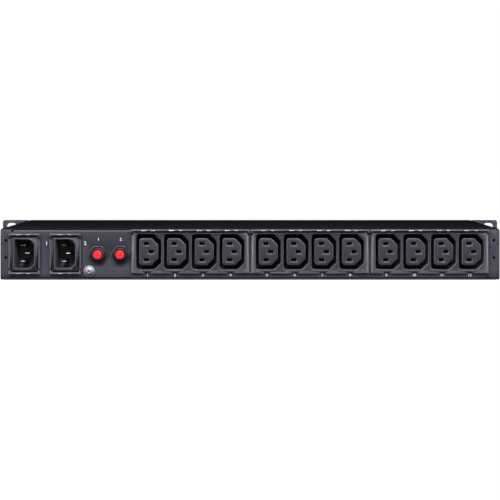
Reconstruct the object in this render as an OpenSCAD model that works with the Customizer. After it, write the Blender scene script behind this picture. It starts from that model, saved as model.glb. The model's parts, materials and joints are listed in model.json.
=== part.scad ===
// Rack static transfer switch, 1U: two power inlets with reset breakers feed twelve
// switched outlets. +Z is up, -Y is the outlet side, and the origin is at the centre of
// the four rack slots, on the face of the ears that meets the rack's rails.

/* [Case] */
// Width of the case between its side faces
body_w = 432; // [431:0.5:438]
// Height of the case
body_h = 44.4; // [44:0.1:44.45]
// Depth of the case, from the ears' front face to the outlet panel
body_d = 110; // [105:1:160]
// Thickness of the base and cover sheet
sheet_t = 1; // [0.8:0.1:1.2]
// Thickness of the outlet panel and of the front panel
panel_t = 1.2; // [1:0.1:1.5]
// Outer bend radius of both panels
panel_bend_r = 2; // [1.8:0.1:2.5]
// Depth of the panels' folded flanges
panel_flange = 9; // [7:0.5:12]

/* [Rack ears] */
// Overall width across the ears
ear_span = 482.6; // [480:0.1:484]
// Thickness of an ear
ear_t = 2; // [1.5:0.1:3]
// Length of the leg that is screwed to the case's side
ear_leg = 30; // [26:1:40]
// Distance between the slots of the two ears
slot_span = 465.1; // [464:0.1:466]
// Distance between the two slots of one ear
slot_rise = 31.75; // [31:0.05:32]
// Width of a slot
slot_w = 7; // [6.5:0.1:7.5]
// Length of a slot
slot_len = 10; // [9:0.1:12]

/* [Outlets] */
// Distance between neighbouring outlets
outlet_pitch = 24; // [23.6:0.1:25]
// Distance between neighbouring outlet blocks
block_pitch = 103.45; // [103.4:0.05:106]
// Centre of the first block, across the panel
block_x = -51.6; // [-53:0.05:-50]
// Centre of the blocks above the case's middle
block_z = 2.45; // [1.8:0.05:2.5]
// Height of a block's flange
block_h = 37.9; // [36.5:0.1:38]
// Width of an outlet's recess
recess_w = 21.8; // [21.4:0.1:22]
// Height of an outlet's recess
recess_h = 30.8; // [30:0.1:31]
// Depth of an outlet's recess
recess_d = 16; // [14:0.5:17]
// Width of an outlet's tongue
tongue_w = 16.2; // [15.8:0.1:16.6]
// Height of an outlet's tongue
tongue_h = 23.2; // [22.8:0.1:23.6]
// Depth of a block behind the panel
block_d = 22; // [20:0.5:26]

/* [Inlets] */
// Centre of inlet A, across the panel
inlet_a_x = -195.1; // [-196:0.1:-194]
// Centre of inlet B, across the panel
inlet_b_x = -159.6; // [-161:0.1:-158]
// Width of an inlet's flange
inlet_w = 26.9; // [26.5:0.1:28]
// Height of an inlet's flange
inlet_h = 35.2; // [34:0.1:36]
// Width of an inlet's cavity
cavity_w = 16.8; // [16.6:0.1:17.2]
// Height of an inlet's cavity
cavity_h = 24.9; // [24.5:0.1:25.3]
// Depth of an inlet's cavity
cavity_d = 16; // [15:0.5:17]

/* [Breakers] */
// Centre of breaker A, across the panel
breaker_a_x = -131.1; // [-134:0.1:-131]
// Centre of breaker B, across the panel
breaker_b_x = -111.9; // [-114:0.1:-111]
// Diameter of a breaker's reset button
button_d = 7.9; // [7:0.1:8.4]
// Outer diameter of a breaker's threaded neck
neck_d = 11; // [10.4:0.1:11.6]
// Width across the flats of a breaker's nut
nut_flats = 14.4; // [13.8:0.1:15]
// How far a button stands out of its neck when it is set
button_out = 2.4; // [1.5:0.1:4]
// How far a button moves when it trips
trip_travel = 3.5; // [2:0.1:4]

/* [Earth screw] */
// Centre of the earth screw, across the panel
earth_x = -139; // [-140.5:0.1:-138]
// Diameter of the earth screw's toothed washer
washer_d = 9.9; // [9:0.1:10.4]

/* [Front] */
// Width of the display window
window_w = 74; // [60:1:80]
// Height of the display window
window_h = 22; // [18:0.5:24]
// Diameter of a push button's cap
cap_d = 6; // [5:0.1:7]
// Travel of a push button
cap_travel = 0.6; // [0.4:0.05:0.9]

/* [Power board] */
// Length of the power board
board_l = 236; // [230:1:240]
// Width of the power board
board_w = 58; // [56:0.5:60]
// Thickness of the circuit boards
board_t = 1.6; // [1.2:0.1:2]
// Height of the power board above the floor of the case
board_rise = 6; // [5:0.5:8]
// Length of a heat sink
sink_l = 58; // [50:1:66]
// Height of a heat sink
sink_h = 24; // [18:0.5:26]
// Fins on one heat sink
sink_fins = 9; // [6:1:10]

/* [Hidden] */
$fn = 48;

// Clearance of a fixed fit, and of a fit that runs
fit = 0.1;
run = 0.3;
eps = 0.5;

// Main planes of the case
half_w = body_w / 2;
z_top = body_h / 2;
z_bot = -body_h / 2;
front_y = ear_t;
rear_y = front_y - body_d;
floor_z = z_bot + sheet_t;
roof_z = z_top - sheet_t;
panel_h = roof_z - floor_z;
sheet_bend_r = sheet_t + 0.8;

// The panels' folded flanges end at bend reliefs near the case's ends
relief_w = 1.6;
relief_inset = 10.1;
flange_half = half_w - relief_inset;
end_lift = 0.6;
end_corner_r = 1.6;

// Rack ears
ear_bend_r = ear_t + 1;
ear_corner_r = 2;

// Side walls of the base, inside those of the cover
wall_out = half_w - sheet_t - fit;
wall_top = roof_z - (sheet_bend_r - sheet_t) - fit;
tongue_low = z_bot + 11.3;
tongue_high = z_bot + 30.6;
tongue_out = 0.3;
tongue_gap = 0.8;

// Tapped holes in the ends of the outlet panel
end_hole_in = 4.9;
end_hole_x = half_w - end_hole_in;
end_hole_d = 2.6;
end_hole_rise = [34.2, 19.3];
end_hole_z = [for (rise = end_hole_rise) z_bot + rise];
clinch_d = 4.8;
clinch_h = 1.6;

// Side vents
vent_n = 9;
vent_pitch = 5;
vent_w = 2.4;
vent_h = 18;
vent_in = 36;
vent_y = rear_y + vent_in;

// Fasteners: shank, head and length of the flat-head screws
screw_d = 3;
head_d = 5.4;
ear_screw_d = 4;
ear_head_d = 7.6;
screw_l = 6;
cover_screw_y = [rear_y + 18, rear_y + body_d / 2 + 9];
ear_screw_y = [-8, -22];
ear_screw_z = [-12, 12];
panel_screw_x = [-half_w * 0.75, -half_w * 0.08, half_w * 0.3, half_w * 0.78];
panel_screw_in = panel_t + 4.6;

// Flanges of the inlets and of the outlet blocks
plate_t = 1.4;
rail_out = 2.4;
rail_w = 1.7;
rail_groove = 1.2;
groove_d = 1.1;
rail_turn = 3.2;
rail_gap = 0.9;
bevel = 0.5;
nib_out = 0.35;

// Outlet blocks
gangs = 4;
block_margin = 3.1;
block_w = gangs * outlet_pitch + 2 * block_margin;
block_body_w = block_w - 4.6;
block_body_h = 32.8;
block_body_z = -0.3;
end_bar_w = 2.4;
recess_z = -0.4;
recess_cut = 6;
recess_r = 3.2;
tongue_cut = 5.7;
tongue_r = 2.6;
pole_rise = 7;
pole_side = 2;
slot_open = [4.4, 2.5];
slot_rim = 0.45;
chamber = [5.4, 4];
chamber_start = 7;
strip_t = 0.8;
strip_h = 4.6;
strip_seat = 1.2;
strip_end = 14;
leaf_t = 0.5;
leaf_gap = 1.7;
leaf_l = 11;
leaf_w = 4;
tail_l = 5;
tail_stagger = 0.6;
back_plate_t = 1.5;
foot_notch_w = 5.5;
foot_notch_x = -1.2;
foot_notch_h = 1.2;
foot_bar_h = 0.9;
foot_bar_out = 0.4;
snap_out = 0.9;
snap_h = 8;

// Inlets
inlet_z = 0.2;
inlet_body_w = inlet_w - 2.6;
inlet_body_h = inlet_h - 3.6;
inlet_back = 3;
cavity_cut = 4.6;
cavity_r = 1.2;
collar_w = 1.1;
collar_out = 0.5;
lip = 0.3;
lip_r = 6;
lip_d = 0.9;
side_rim_w = 1;
pin_w = 4;
pin_t = 2;
pin_tip = 3;
tab_l = 8;
tab_t = 0.8;

// Breakers
breaker_z = -0.1;
breaker_w = 14.8;
breaker_h = 20;
breaker_d = 29;
neck_out = 3.6;
nut_t = 2.6;
nut_corner_d = nut_flats * 1.085;
nut_turn = 0.4;
button_in = 9;
breaker_tab_w = 6.3;
breaker_tab_t = 0.8;
breaker_tab_l = 9;
breaker_tab_rise = 6;

// Earth screw
earth_rise = 7.6;
earth_z = z_bot + earth_rise;
earth_d = 4;
earth_flange_d = 7.8;
earth_flange_t = 0.6;
earth_head_d = 5.6;
earth_recess = [2.6, 0.8];
earth_head_h = 2.3;
earth_teeth = 18;
washer_t = 0.8;
tooth_cut = [1.1, 0.6];
earth_l = 9;
earth_nut_flats = 7;
earth_nut_t = 3;

// Power board, whose parts stand in rows from its left end
board_left = -103;
board_x = board_left + board_l / 2;
board_right = board_left + board_l;
board_low_y = rear_y + block_d + back_plate_t + tail_l + 4;
board_y = board_low_y + board_w / 2;
board_z = floor_z + board_rise;
board_top = board_z + board_t;
pillar_d = 6;
pillar_in = 4;
board_screw_head = 5.2;
board_screw_head_h = 2;
part_gap = 3;
pad_in = 2.5;
terminal_n = 4;
terminal_pitch = 8;
terminal_w = 12;
terminal_h = 13;
entry_d = 3.4;
entry_l = 6;
entry_rise = 6;
sensor_d = 20;
sensor_bore = 9;
sensor_t = 9;
sensor_foot = 1;
sensor_pitch = 18;
sink_w = 22;
sink_base = 5;
fin_t = 1.2;
device_w = 15.6;
device_t = 5;
device_h = 18;
device_lift = 4;
device_hole_d = 3.2;
device_hole_in = 5;
leg_w = 1.2;
leg_t = 0.8;
leg_pitch = 5.45;
relay = [29, 12.7, 20.5];
relay_n = 4;
transformer = [30, 25, 22];
core_w = 12;
winding_in = 2.5;
capacitor_d = 16;
capacitor_h = 24;

// Front row: terminal strip, sensors, two heat sinks and as many transformers as fit
entry = [board_left + part_gap, board_top + entry_rise];
terminal_y = [for (i = [0:terminal_n - 1]) board_y + (i - (terminal_n - 1) / 2) * terminal_pitch];
sensor_x = entry[0] + terminal_w + part_gap + sensor_d / 2;
sink_x = [for (i = [0, 1]) sensor_x + sensor_d / 2 + part_gap + sink_l / 2 + i * (sink_l + part_gap)];
sink_y = board_low_y + 2 * pad_in + device_t + sink_w / 2;
transformer_x = sink_x[1] + sink_l / 2 + part_gap;
transformer_n = floor((board_right - 2 * pillar_in - transformer_x + part_gap) / (transformer[0] + part_gap));

// Back row: relays, and as many capacitors as fit
relay_x = sensor_x - sensor_d / 2;
relay_y = board_low_y + board_w - relay[1] - 4;
capacitor_x = relay_x + relay_n * (relay[0] + part_gap);
capacitor_n = floor((board_right - 2 * pillar_in - capacitor_x + part_gap) / (capacitor_d + part_gap));

// Inner leads and the ring terminals on the earth screw
lead_d = 3;
elbow_d = lead_d + 0.5;
lead_sides = 20;
ring_d = 8;
ring_t = 0.8;
barrel_d = 3.4;
barrel_l = 8;
barrel_out = 6;
ring_neck = 2.6;
ring_turn = 50;

// Control board behind the front panel
control_x = 32;
control_l = 156;
control_h = 30;
control_gap = 9.5;
control_y = front_y - panel_t - control_gap;
display_x = 10;
lamp_d = 3;
lamp_x = [-36, 56];
cap_x = [72, 84, 96];
cap_out = 1;
switch_w = 6;
switch_t = 3.6;
jack_y = front_y - panel_t;
network_x = 176;
serial_x = 196;
jack_w = 15.8;
jack_h = 13.2;
jack_d = 14;
jack_z = -1;
jack_back = 2;
jack_lift = 0.6;
jack_mouth = [11.9, 7.6];
jack_step = [6.2, 2.6];
card_l = 43;
card_w = 46;
card_x = (network_x + serial_x) / 2;
card_top = jack_z - jack_h / 2;
card_y = jack_y - 1 - card_w;
card_pillar_in = 4;

// ---- Outlines and placing -------------------------------------------------------------

function arc(cx, cy, r, from, to, steps = 6) =
    [for (i = [0:steps]) let (a = from + (to - from) * i / steps) [cx + r * cos(a), cy + r * sin(a)]];

// A sheet folded into a U: width w, height h, thickness t and outer bend radius r
function u_fold(w, h, t, r) = concat(
    [[-w / 2, h]], arc(-w / 2 + r, r, r, 180, 270), arc(w / 2 - r, r, r, 270, 360), [[w / 2, h]],
    [[w / 2 - t, h]], arc(w / 2 - r, r, r - t, 360, 270), arc(-w / 2 + r, r, r - t, 270, 180),
    [[-w / 2 + t, h]]
);

// A rectangle with its left corners rounded and its right corners cut, as on power connectors
function keyed(w, h, cut, r) = concat(
    arc(-w / 2 + r, -h / 2 + r, r, 180, 270),
    [[w / 2 - cut, -h / 2], [w / 2, -h / 2 + cut], [w / 2, h / 2 - cut], [w / 2 - cut, h / 2]],
    arc(-w / 2 + r, h / 2 - r, r, 90, 180)
);

// A rectangle with its right corners rounded to cr and its left corners to r
function rounded(w, h, cr, r) = concat(
    arc(-w / 2 + r, -h / 2 + r, r, 180, 270), arc(w / 2 - cr, -h / 2 + cr, cr, 270, 360),
    arc(w / 2 - cr, h / 2 - cr, cr, 0, 90), arc(-w / 2 + r, h / 2 - r, r, 90, 180)
);

// A ridge w wide that stands h proud, with bevelled shoulders
function ridge(w, h, b) =
    [[-w / 2, 0], [w / 2, 0], [w / 2, h - b], [w / 2 - b, h], [-w / 2 + b, h], [-w / 2, h - b]];

// Extrudes an X-Z drawing from y_low to y_high
module across(y_low, y_high)
    translate([0, y_high, 0]) rotate([90, 0, 0]) linear_extrude(y_high - y_low) children();

// Extrudes a Y-Z drawing along X, centred
module along_x(length)
    translate([-length / 2, 0, 0]) rotate([90, 0, 90]) linear_extrude(length) children();

// Box centred in X and Z, from y_low to y_high
module slab(w, h, y_low, y_high)
    translate([-w / 2, y_low, -h / 2]) cube([w, y_high - y_low, h]);

module obround(length, width) {
    square([length - width, width], center = true);
    for (s = [-1, 1]) translate([s * (length - width) / 2, 0]) circle(d = width);
}

// Round bar along Y
module rod(d, y_low, y_high)
    translate([0, y_high, 0]) rotate([90, 0, 0]) cylinder(d = d, h = y_high - y_low);

// Flat-head screw along +Z whose head is flush with z = 0
module flat_screw(d, head, head_h, length) {
    cylinder(d1 = head, d2 = d, h = head_h);
    translate([0, 0, head_h - 0.01]) cylinder(d = d, h = length - head_h);
}

// Hole for that screw
module flat_screw_hole(d, head, head_h, depth) {
    translate([0, 0, -eps]) cylinder(d = head + 2 * fit, h = eps + 0.001);
    cylinder(d1 = head + 2 * fit, d2 = d + 2 * fit, h = head_h);
    cylinder(d = d + 2 * fit, h = depth);
}

// Places children on each side wall's outer face at x, pointing into the case
module on_sides(x, ys, zs)
    for (s = [-1, 1], y = ys, z = zs)
        translate([s * x, y, z]) rotate([0, -s * 90, 0]) children();

// ---- Case -----------------------------------------------------------------------------

module vents(x)
    for (s = [-1, 1], i = [0:vent_n - 1])
        translate([s * x, vent_y + (i - (vent_n - 1) / 2) * vent_pitch, 0])
            rotate([0, 90, 0])
                linear_extrude(4 * sheet_t, center = true) obround(vent_h, vent_w);

module base_pan() color("dimgray") difference() {
    union() {
        translate([0, 0, z_bot])
            across(rear_y + panel_t + fit, front_y - panel_t - fit)
                polygon(u_fold(2 * wall_out, wall_top - z_bot, sheet_t, sheet_bend_r));
        translate([-wall_out + sheet_bend_r, rear_y, z_bot])
            cube([2 * (wall_out - sheet_bend_r), body_d, sheet_t]);
        for (s = [-1, 1])
            translate([s * (wall_out - sheet_t / 2) - sheet_t / 2, rear_y - tongue_out, tongue_low])
                cube([sheet_t, body_d + tongue_out, tongue_high - tongue_low]);
    }
    vents(wall_out);
    for (y = [rear_y + panel_screw_in, front_y - panel_screw_in], x = panel_screw_x)
        translate([x, y, z_bot]) flat_screw_hole(screw_d, head_d, sheet_t, 2 * sheet_t);
    on_sides(wall_out, cover_screw_y, [0]) cylinder(d = screw_d + 2 * fit, h = 4 * sheet_t, center = true);
    on_sides(wall_out, ear_screw_y, ear_screw_z)
        cylinder(d = ear_screw_d + 2 * fit, h = 4 * sheet_t, center = true);
}

module top_cover() color("black") difference() {
    union() {
        across(rear_y + panel_t + fit, front_y - panel_t - fit)
            translate([0, z_top]) mirror([0, 1])
                polygon(u_fold(body_w, body_h, sheet_t, sheet_bend_r));
        translate([-half_w + sheet_bend_r, rear_y, roof_z])
            cube([body_w - 2 * sheet_bend_r, body_d, sheet_t]);
    }
    vents(half_w);
    on_sides(half_w, cover_screw_y, [0]) flat_screw_hole(screw_d, head_d, sheet_t, 2 * sheet_t);
    on_sides(half_w, ear_screw_y, ear_screw_z)
        cylinder(d = ear_screw_d + 2 * fit, h = 4 * sheet_t, center = true);
}

// Panel folded along its top and bottom between the reliefs, with flat ends. The drawing
// is made with its outer face at y = 0 and its flanges towards +Y.
module folded_panel() {
    mid = (floor_z + roof_z) / 2;
    translate([0, 0, mid]) {
        along_x(2 * flange_half - relief_w)
            polygon([for (p = u_fold(panel_h, panel_flange, panel_t, panel_bend_r)) [p[1], p[0]]]);
        slab(body_w, panel_h - 2 * panel_bend_r, 0, panel_t);
    }
    // Flat ends, each with its outer top corner rounded
    end_w = relief_inset - relief_w / 2;
    for (s = [-1, 1])
        across(0, panel_t) mirror([s < 0 ? 1 : 0, 0]) translate([half_w, roof_z])
            polygon(concat(
                [[-end_w, 0], [-end_w, -panel_h + end_lift], [0, -panel_h + end_lift]],
                arc(-end_corner_r, -end_corner_r, end_corner_r, 0, 90)
            ));
}

module tongue_slots()
    for (s = [-1, 1])
        translate([s * (wall_out - sheet_t / 2), 0, (tongue_low + tongue_high) / 2])
            slab(sheet_t + 2 * fit, tongue_high - tongue_low + 2 * tongue_gap, -eps, panel_t + eps);

module flange_screw_holes()
    for (x = panel_screw_x)
        translate([x, panel_screw_in, floor_z - eps])
            cylinder(d = screw_d + 2 * fit, h = panel_t + 2 * eps);

module outlet_panel() color("dimgray") translate([0, rear_y, 0]) difference() {
    folded_panel();
    tongue_slots();
    flange_screw_holes();
    for (i = [0:2])
        translate([block_x + i * block_pitch, 0, block_z + block_body_z])
            slab(block_body_w + 2 * fit, block_body_h + 2 * fit, -eps, panel_t + eps);
    for (x = [inlet_a_x, inlet_b_x])
        translate([x, 0, inlet_z])
            slab(inlet_body_w + 2 * fit, inlet_body_h + 2 * fit, -eps, panel_t + eps);
    for (x = [breaker_a_x, breaker_b_x])
        translate([x, 0, breaker_z]) rod(neck_d + 2 * fit, -eps, panel_t + eps);
    translate([earth_x, 0, earth_z]) rod(earth_d + 2 * fit, -eps, panel_t + eps);
    for (s = [-1, 1], z = end_hole_z)
        translate([s * end_hole_x, 0, z]) rod(end_hole_d, -eps, panel_t + eps);
}

module front_panel() color("dimgray") difference() {
    translate([0, front_y, 0]) mirror([0, 1, 0]) difference() {
        folded_panel();
        tongue_slots();
        flange_screw_holes();
    }
    translate([display_x, front_y - panel_t, 0])
        across(-eps, panel_t + eps) square([window_w, window_h], center = true);
    for (x = lamp_x)
        translate([x, 0, 0]) rod(lamp_d + 2 * fit, front_y - panel_t - eps, front_y + eps);
    for (x = cap_x)
        translate([x, 0, 0]) rod(cap_d + 2 * run, front_y - panel_t - eps, front_y + eps);
    for (x = [network_x, serial_x])
        translate([x, 0, jack_z])
            slab(jack_w + 2 * fit, jack_h + 2 * fit, front_y - panel_t - eps, front_y + eps);
}

// Bracket folded from one strip: a leg along the case's side and a slotted ear
module rack_ear() color("dimgray") difference() {
    intersection() {
        translate([0, 0, z_bot]) linear_extrude(body_h) polygon(concat(
            [[half_w, -ear_leg]],
            arc(half_w + ear_bend_r, ear_t - ear_bend_r, ear_bend_r, 180, 90),
            [[ear_span / 2, ear_t], [ear_span / 2, 0]],
            arc(half_w + ear_bend_r, ear_t - ear_bend_r, ear_bend_r - ear_t, 90, 180),
            [[half_w + ear_t, -ear_leg]]
        ));
        across(-ear_leg - eps, ear_t + eps) translate([ear_span / 2, 0]) mirror([1, 0])
            polygon(concat(
                arc(ear_corner_r, -body_h / 2 + ear_corner_r, ear_corner_r, 180, 270),
                [[ear_span / 2, -body_h / 2], [ear_span / 2, body_h / 2]],
                arc(ear_corner_r, body_h / 2 - ear_corner_r, ear_corner_r, 90, 180)
            ));
    }
    for (z = [-1, 1])
        translate([slot_span / 2, 0, z * slot_rise / 2])
            across(-eps, ear_t + eps) obround(slot_len, slot_w);
    for (y = ear_screw_y, z = ear_screw_z)
        translate([half_w + ear_t, y, z]) rotate([0, -90, 0])
            flat_screw_hole(ear_screw_d, ear_head_d, ear_t, 2 * ear_t);
}

module left_rack_ear() mirror([1, 0, 0]) rack_ear();
module right_rack_ear() rack_ear();

module ear_screws() color("black")
    on_sides(half_w + ear_t, ear_screw_y, ear_screw_z)
        flat_screw(ear_screw_d, ear_head_d, ear_t, ear_t + screw_l);

module cover_screws() color("black")
    on_sides(half_w, cover_screw_y, [0]) flat_screw(screw_d, head_d, sheet_t, screw_l);

module panel_screws() color("black")
    for (y = [rear_y + panel_screw_in, front_y - panel_screw_in], x = panel_screw_x)
        translate([x, y, z_bot]) flat_screw(screw_d, head_d, sheet_t, screw_l - 1);

// Threaded collars pressed into the back of the outlet panel's ends
module clinch_nuts() color("silver")
    for (s = [-1, 1], z = end_hole_z)
        translate([s * end_hole_x, rear_y + panel_t, z]) difference() {
            rod(clinch_d, 0, clinch_h);
            rod(end_hole_d, -eps, clinch_h + eps);
        }

// ---- Flanges that snap into the outlet panel ---------------------------------------------

// Bevelled rail along X at the top or bottom edge of a flange, with its ends turned in
module rail(w, h, side) {
    z = side * (h / 2 - rail_w / 2);
    translate([0, 0, z]) along_x(w)
        polygon([for (p = ridge(rail_w, rail_out, bevel)) [-p[1], p[0]]]);
    for (s = [-1, 1])
        translate([s * (w / 2 - side_rim_w * 0.7), 0, side * (h / 2 - rail_turn / 2)])
            linear_extrude(rail_turn, center = true)
                polygon([for (p = ridge(side_rim_w * 1.4, rail_out, bevel)) [p[0], -p[1]]]);
}

// Small raised blocks on a rail, beside x
module rail_nibs(x, h, side)
    for (n = [[-4, 4.2], [3.9, 2.6]])
        translate([x + n[0], 0, side * (h / 2 - rail_w / 2)])
            slab(n[1], rail_w - 2 * bevel, -rail_out - nib_out, -rail_out + 0.01);

// ---- Outlet blocks ---------------------------------------------------------------------

function gang_x(i) = (i - (gangs - 1) / 2) * outlet_pitch;
POLES = [[-pole_side, pole_rise], [pole_side, 0], [-pole_side, -pole_rise]];

// The three tails of a block stand side by side behind its first outlet
function tail_x(p) = gang_x(0) - pole_side - p[1] * tail_stagger;

// All that is cut for one outlet, with the panel's face at y = 0
module outlet_cut() {
    across(-plate_t - eps, recess_d - plate_t) difference() {
        polygon(keyed(recess_w, recess_h, recess_cut, recess_r));
        polygon(keyed(tongue_w, tongue_h, tongue_cut, tongue_r));
    }
    for (p = POLES) translate([p[0], 0, p[1]]) {
        slab(slot_open[0], slot_open[1], -plate_t - eps, block_d - strip_seat);
        slab(slot_open[0] + 2 * slot_rim, slot_open[1] + 2 * slot_rim, -plate_t - eps, -plate_t + slot_rim);
        slab(chamber[0], chamber[1], chamber_start, block_d + eps);
    }
}

module outlet_block(n) color("dimgray") translate([block_x + n * block_pitch, rear_y, block_z]) difference() {
    union() {
        slab(block_w, block_h, -plate_t, 0);
        translate([0, 0, block_body_z]) slab(block_body_w, block_body_h, -0.01, block_d);
        rail(block_w, block_h, 1);
        for (i = [0:gangs - 1]) rail_nibs(gang_x(i), block_h, 1);
        // Side bars, between the rail's turned ends and the foot
        for (s = [-1, 1])
            translate([s * (block_w - end_bar_w) / 2, 0, -(rail_turn + rail_gap) / 2])
                linear_extrude(block_h - rail_turn - rail_gap, center = true)
                    polygon([for (p = ridge(end_bar_w, rail_out - 0.3, 2 * bevel)) [p[0], -p[1]]]);
        // Foot bar
        translate([0, 0, (foot_bar_h - block_h) / 2])
            slab(block_w, foot_bar_h, -plate_t - foot_bar_out, -plate_t + 0.01);
        // Snap lugs behind the panel
        for (s = [-1, 1])
            translate([s * block_body_w / 2, panel_t + fit, 0]) linear_extrude(snap_h, center = true)
                polygon([[-s * 0.5, 0], [s * snap_out, 0], [s * snap_out, 0.8], [-s * 0.5, 5]]);
    }
    // Groove under the rail
    translate([0, 0, block_h / 2 - rail_w - rail_groove / 2])
        slab(block_w - 2 * end_bar_w, rail_groove, -plate_t - eps, -plate_t + groove_d);
    for (i = [0:gangs - 1]) {
        translate([gang_x(i), 0, recess_z]) outlet_cut();
        // Notch in the foot
        translate([gang_x(i) + foot_notch_x, 0, -block_h / 2])
            slab(foot_notch_w, 2 * foot_notch_h, -rail_out - eps, eps);
    }
    for (p = POLES) translate([0, 0, recess_z + p[1]])
        slab(block_body_w - 4, strip_h + 2 * fit, block_d - strip_seat, block_d + eps);
}

module outlet_block_1() outlet_block(0);
module outlet_block_2() outlet_block(1);
module outlet_block_3() outlet_block(2);

// Three brass strips, each with a pair of spring leaves for every outlet and a tail
module outlet_contacts(n) color("goldenrod")
    translate([block_x + n * block_pitch, rear_y, block_z + recess_z])
        for (p = POLES) translate([0, 0, p[1]]) {
            slab((gangs - 1) * outlet_pitch + strip_end, strip_h,
                block_d - strip_seat, block_d - strip_seat + strip_t);
            for (i = [0:gangs - 1], s = [-1, 1])
                translate([gang_x(i) + p[0], 0, s * (leaf_gap + leaf_t) / 2])
                    slab(leaf_w, leaf_t, block_d - strip_seat - leaf_l, block_d - strip_seat + 0.01);
            translate([tail_x(p), 0, 0])
                slab(leaf_w, strip_t, block_d - strip_seat, block_d + back_plate_t + tail_l);
        }

module outlet_contacts_1() outlet_contacts(0);
module outlet_contacts_2() outlet_contacts(1);
module outlet_contacts_3() outlet_contacts(2);

module outlet_back_plate(n) color("black")
    translate([block_x + n * block_pitch, rear_y, block_z]) difference() {
        translate([0, 0, block_body_z])
            slab(block_body_w, block_body_h, block_d, block_d + back_plate_t);
        for (p = POLES)
            translate([tail_x(p), 0, recess_z + p[1]])
                slab(leaf_w + 2 * fit, strip_t + 2 * fit, block_d - eps, block_d + back_plate_t + eps);
    }

module outlet_back_plate_1() outlet_back_plate(0);
module outlet_back_plate_2() outlet_back_plate(1);
module outlet_back_plate_3() outlet_back_plate(2);

// ---- Inlets ----------------------------------------------------------------------------

// The three pins' places in an inlet
module at_pins() for (p = POLES) translate([p[0], 0, p[1]]) children();

module inlet_housing(x) color("dimgray") translate([x, rear_y, inlet_z]) difference() {
    union() {
        slab(inlet_w, inlet_h, -plate_t, 0);
        slab(inlet_body_w, inlet_body_h, -0.01, cavity_d + inlet_back);
        for (side = [-1, 1]) {
            rail(inlet_w, inlet_h, side);
            rail_nibs(-0.3, inlet_h, side);
        }
        for (s = [-1, 1])
            translate([s * (inlet_w - side_rim_w) / 2, 0, 0])
                linear_extrude(inlet_h - 2 * (rail_turn + rail_gap), center = true)
                    polygon([for (p = ridge(side_rim_w, rail_out - 0.2, bevel / 2)) [p[0], -p[1]]]);
        across(-plate_t - collar_out, 0)
            polygon(keyed(cavity_w + 2 * collar_w, cavity_h + 2 * collar_w,
                cavity_cut - lip, cavity_r + collar_w));
        for (s = [-1, 1])
            translate([s * inlet_body_w / 2, panel_t + fit, 0]) linear_extrude(snap_h, center = true)
                polygon([[-s * 0.5, 0], [s * snap_out, 0], [s * snap_out, 0.8], [-s * 0.5, 5]]);
    }
    for (side = [-1, 1])
        translate([0, 0, side * (inlet_h / 2 - rail_w - rail_groove / 2)])
            slab(inlet_w - 4 * side_rim_w, rail_groove, -plate_t - eps, -plate_t + groove_d);
    across(-rail_out - eps, cavity_d - plate_t)
        polygon(keyed(cavity_w, cavity_h, cavity_cut, cavity_r));
    // Round-cornered lip in front of the cavity
    across(-rail_out - eps, -plate_t - collar_out + lip_d)
        polygon(rounded(cavity_w + 2 * lip, cavity_h + 2 * lip, lip_r, cavity_r));
    at_pins() slab(pin_w + 2 * fit, pin_t + 2 * fit, 0, cavity_d + inlet_back + eps);
}

module inlet_a_housing() inlet_housing(inlet_a_x);
module inlet_b_housing() inlet_housing(inlet_b_x);

// Flat pins with bevelled tips, each with its solder tab behind the housing
module inlet_pins(x) color("silver") translate([x, rear_y, inlet_z])
    at_pins() {
        tip = pin_tip;
        root = cavity_d + inlet_back;
        translate([-pin_w / 2, 0, 0]) rotate([90, 0, 90]) linear_extrude(pin_w)
            polygon([[tip, -pin_t / 4], [tip + 1, -pin_t / 2], [root, -pin_t / 2],
                [root, pin_t / 2], [tip + 1, pin_t / 2], [tip, pin_t / 4]]);
        slab(pin_w, tab_t, root - 0.01, root + tab_l);
    }

module inlet_a_pins() inlet_pins(inlet_a_x);
module inlet_b_pins() inlet_pins(inlet_b_x);

// ---- Breakers --------------------------------------------------------------------------

module breaker_body(x) color("black") translate([x, rear_y, breaker_z]) difference() {
    union() {
        slab(breaker_w, breaker_h, panel_t, panel_t + breaker_d);
        rod(neck_d, -neck_out, panel_t + 0.01);
    }
    rod(button_d + 2 * run, -neck_out - eps, button_in + run);
}

module breaker_a_body() breaker_body(breaker_a_x);
module breaker_b_body() breaker_body(breaker_b_x);

// Hexagonal nut with its corners turned off
module breaker_nut(x) color("black") translate([x, rear_y, breaker_z]) difference() {
    intersection() {
        rotate([90, 0, 0]) cylinder(d = nut_flats / cos(30), h = nut_t, $fn = 6);
        translate([0, -nut_t, 0]) rotate([-90, 0, 0])
            cylinder(d1 = nut_corner_d - nut_turn, d2 = nut_corner_d + 2 * nut_t - nut_turn, h = nut_t);
        rod(nut_corner_d, -nut_t, 0);
    }
    rod(neck_d + 2 * fit, -nut_t - eps, eps);
}

module breaker_a_nut() breaker_nut(breaker_a_x);
module breaker_b_nut() breaker_nut(breaker_b_x);

// Plunger with a rounded front edge
module breaker_button(x) color("red") translate([x, rear_y, breaker_z])
    rotate([90, 0, 0]) rotate_extrude()
        polygon(concat(
            [[0, -button_in], [button_d / 2, -button_in]],
            arc(button_d / 2 - 0.8, neck_out + button_out - 0.8, 0.8, 0, 90),
            [[0, neck_out + button_out]]
        ));

module breaker_a_button() breaker_button(breaker_a_x);
module breaker_b_button() breaker_button(breaker_b_x);

module breaker_terminals() color("silver")
    for (x = [breaker_a_x, breaker_b_x], s = [-1, 1])
        translate([x, rear_y + panel_t + breaker_d, breaker_z + s * breaker_tab_rise])
            slab(breaker_tab_w, breaker_tab_t, 0, breaker_tab_l);

// ---- Earth screw -----------------------------------------------------------------------

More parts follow.
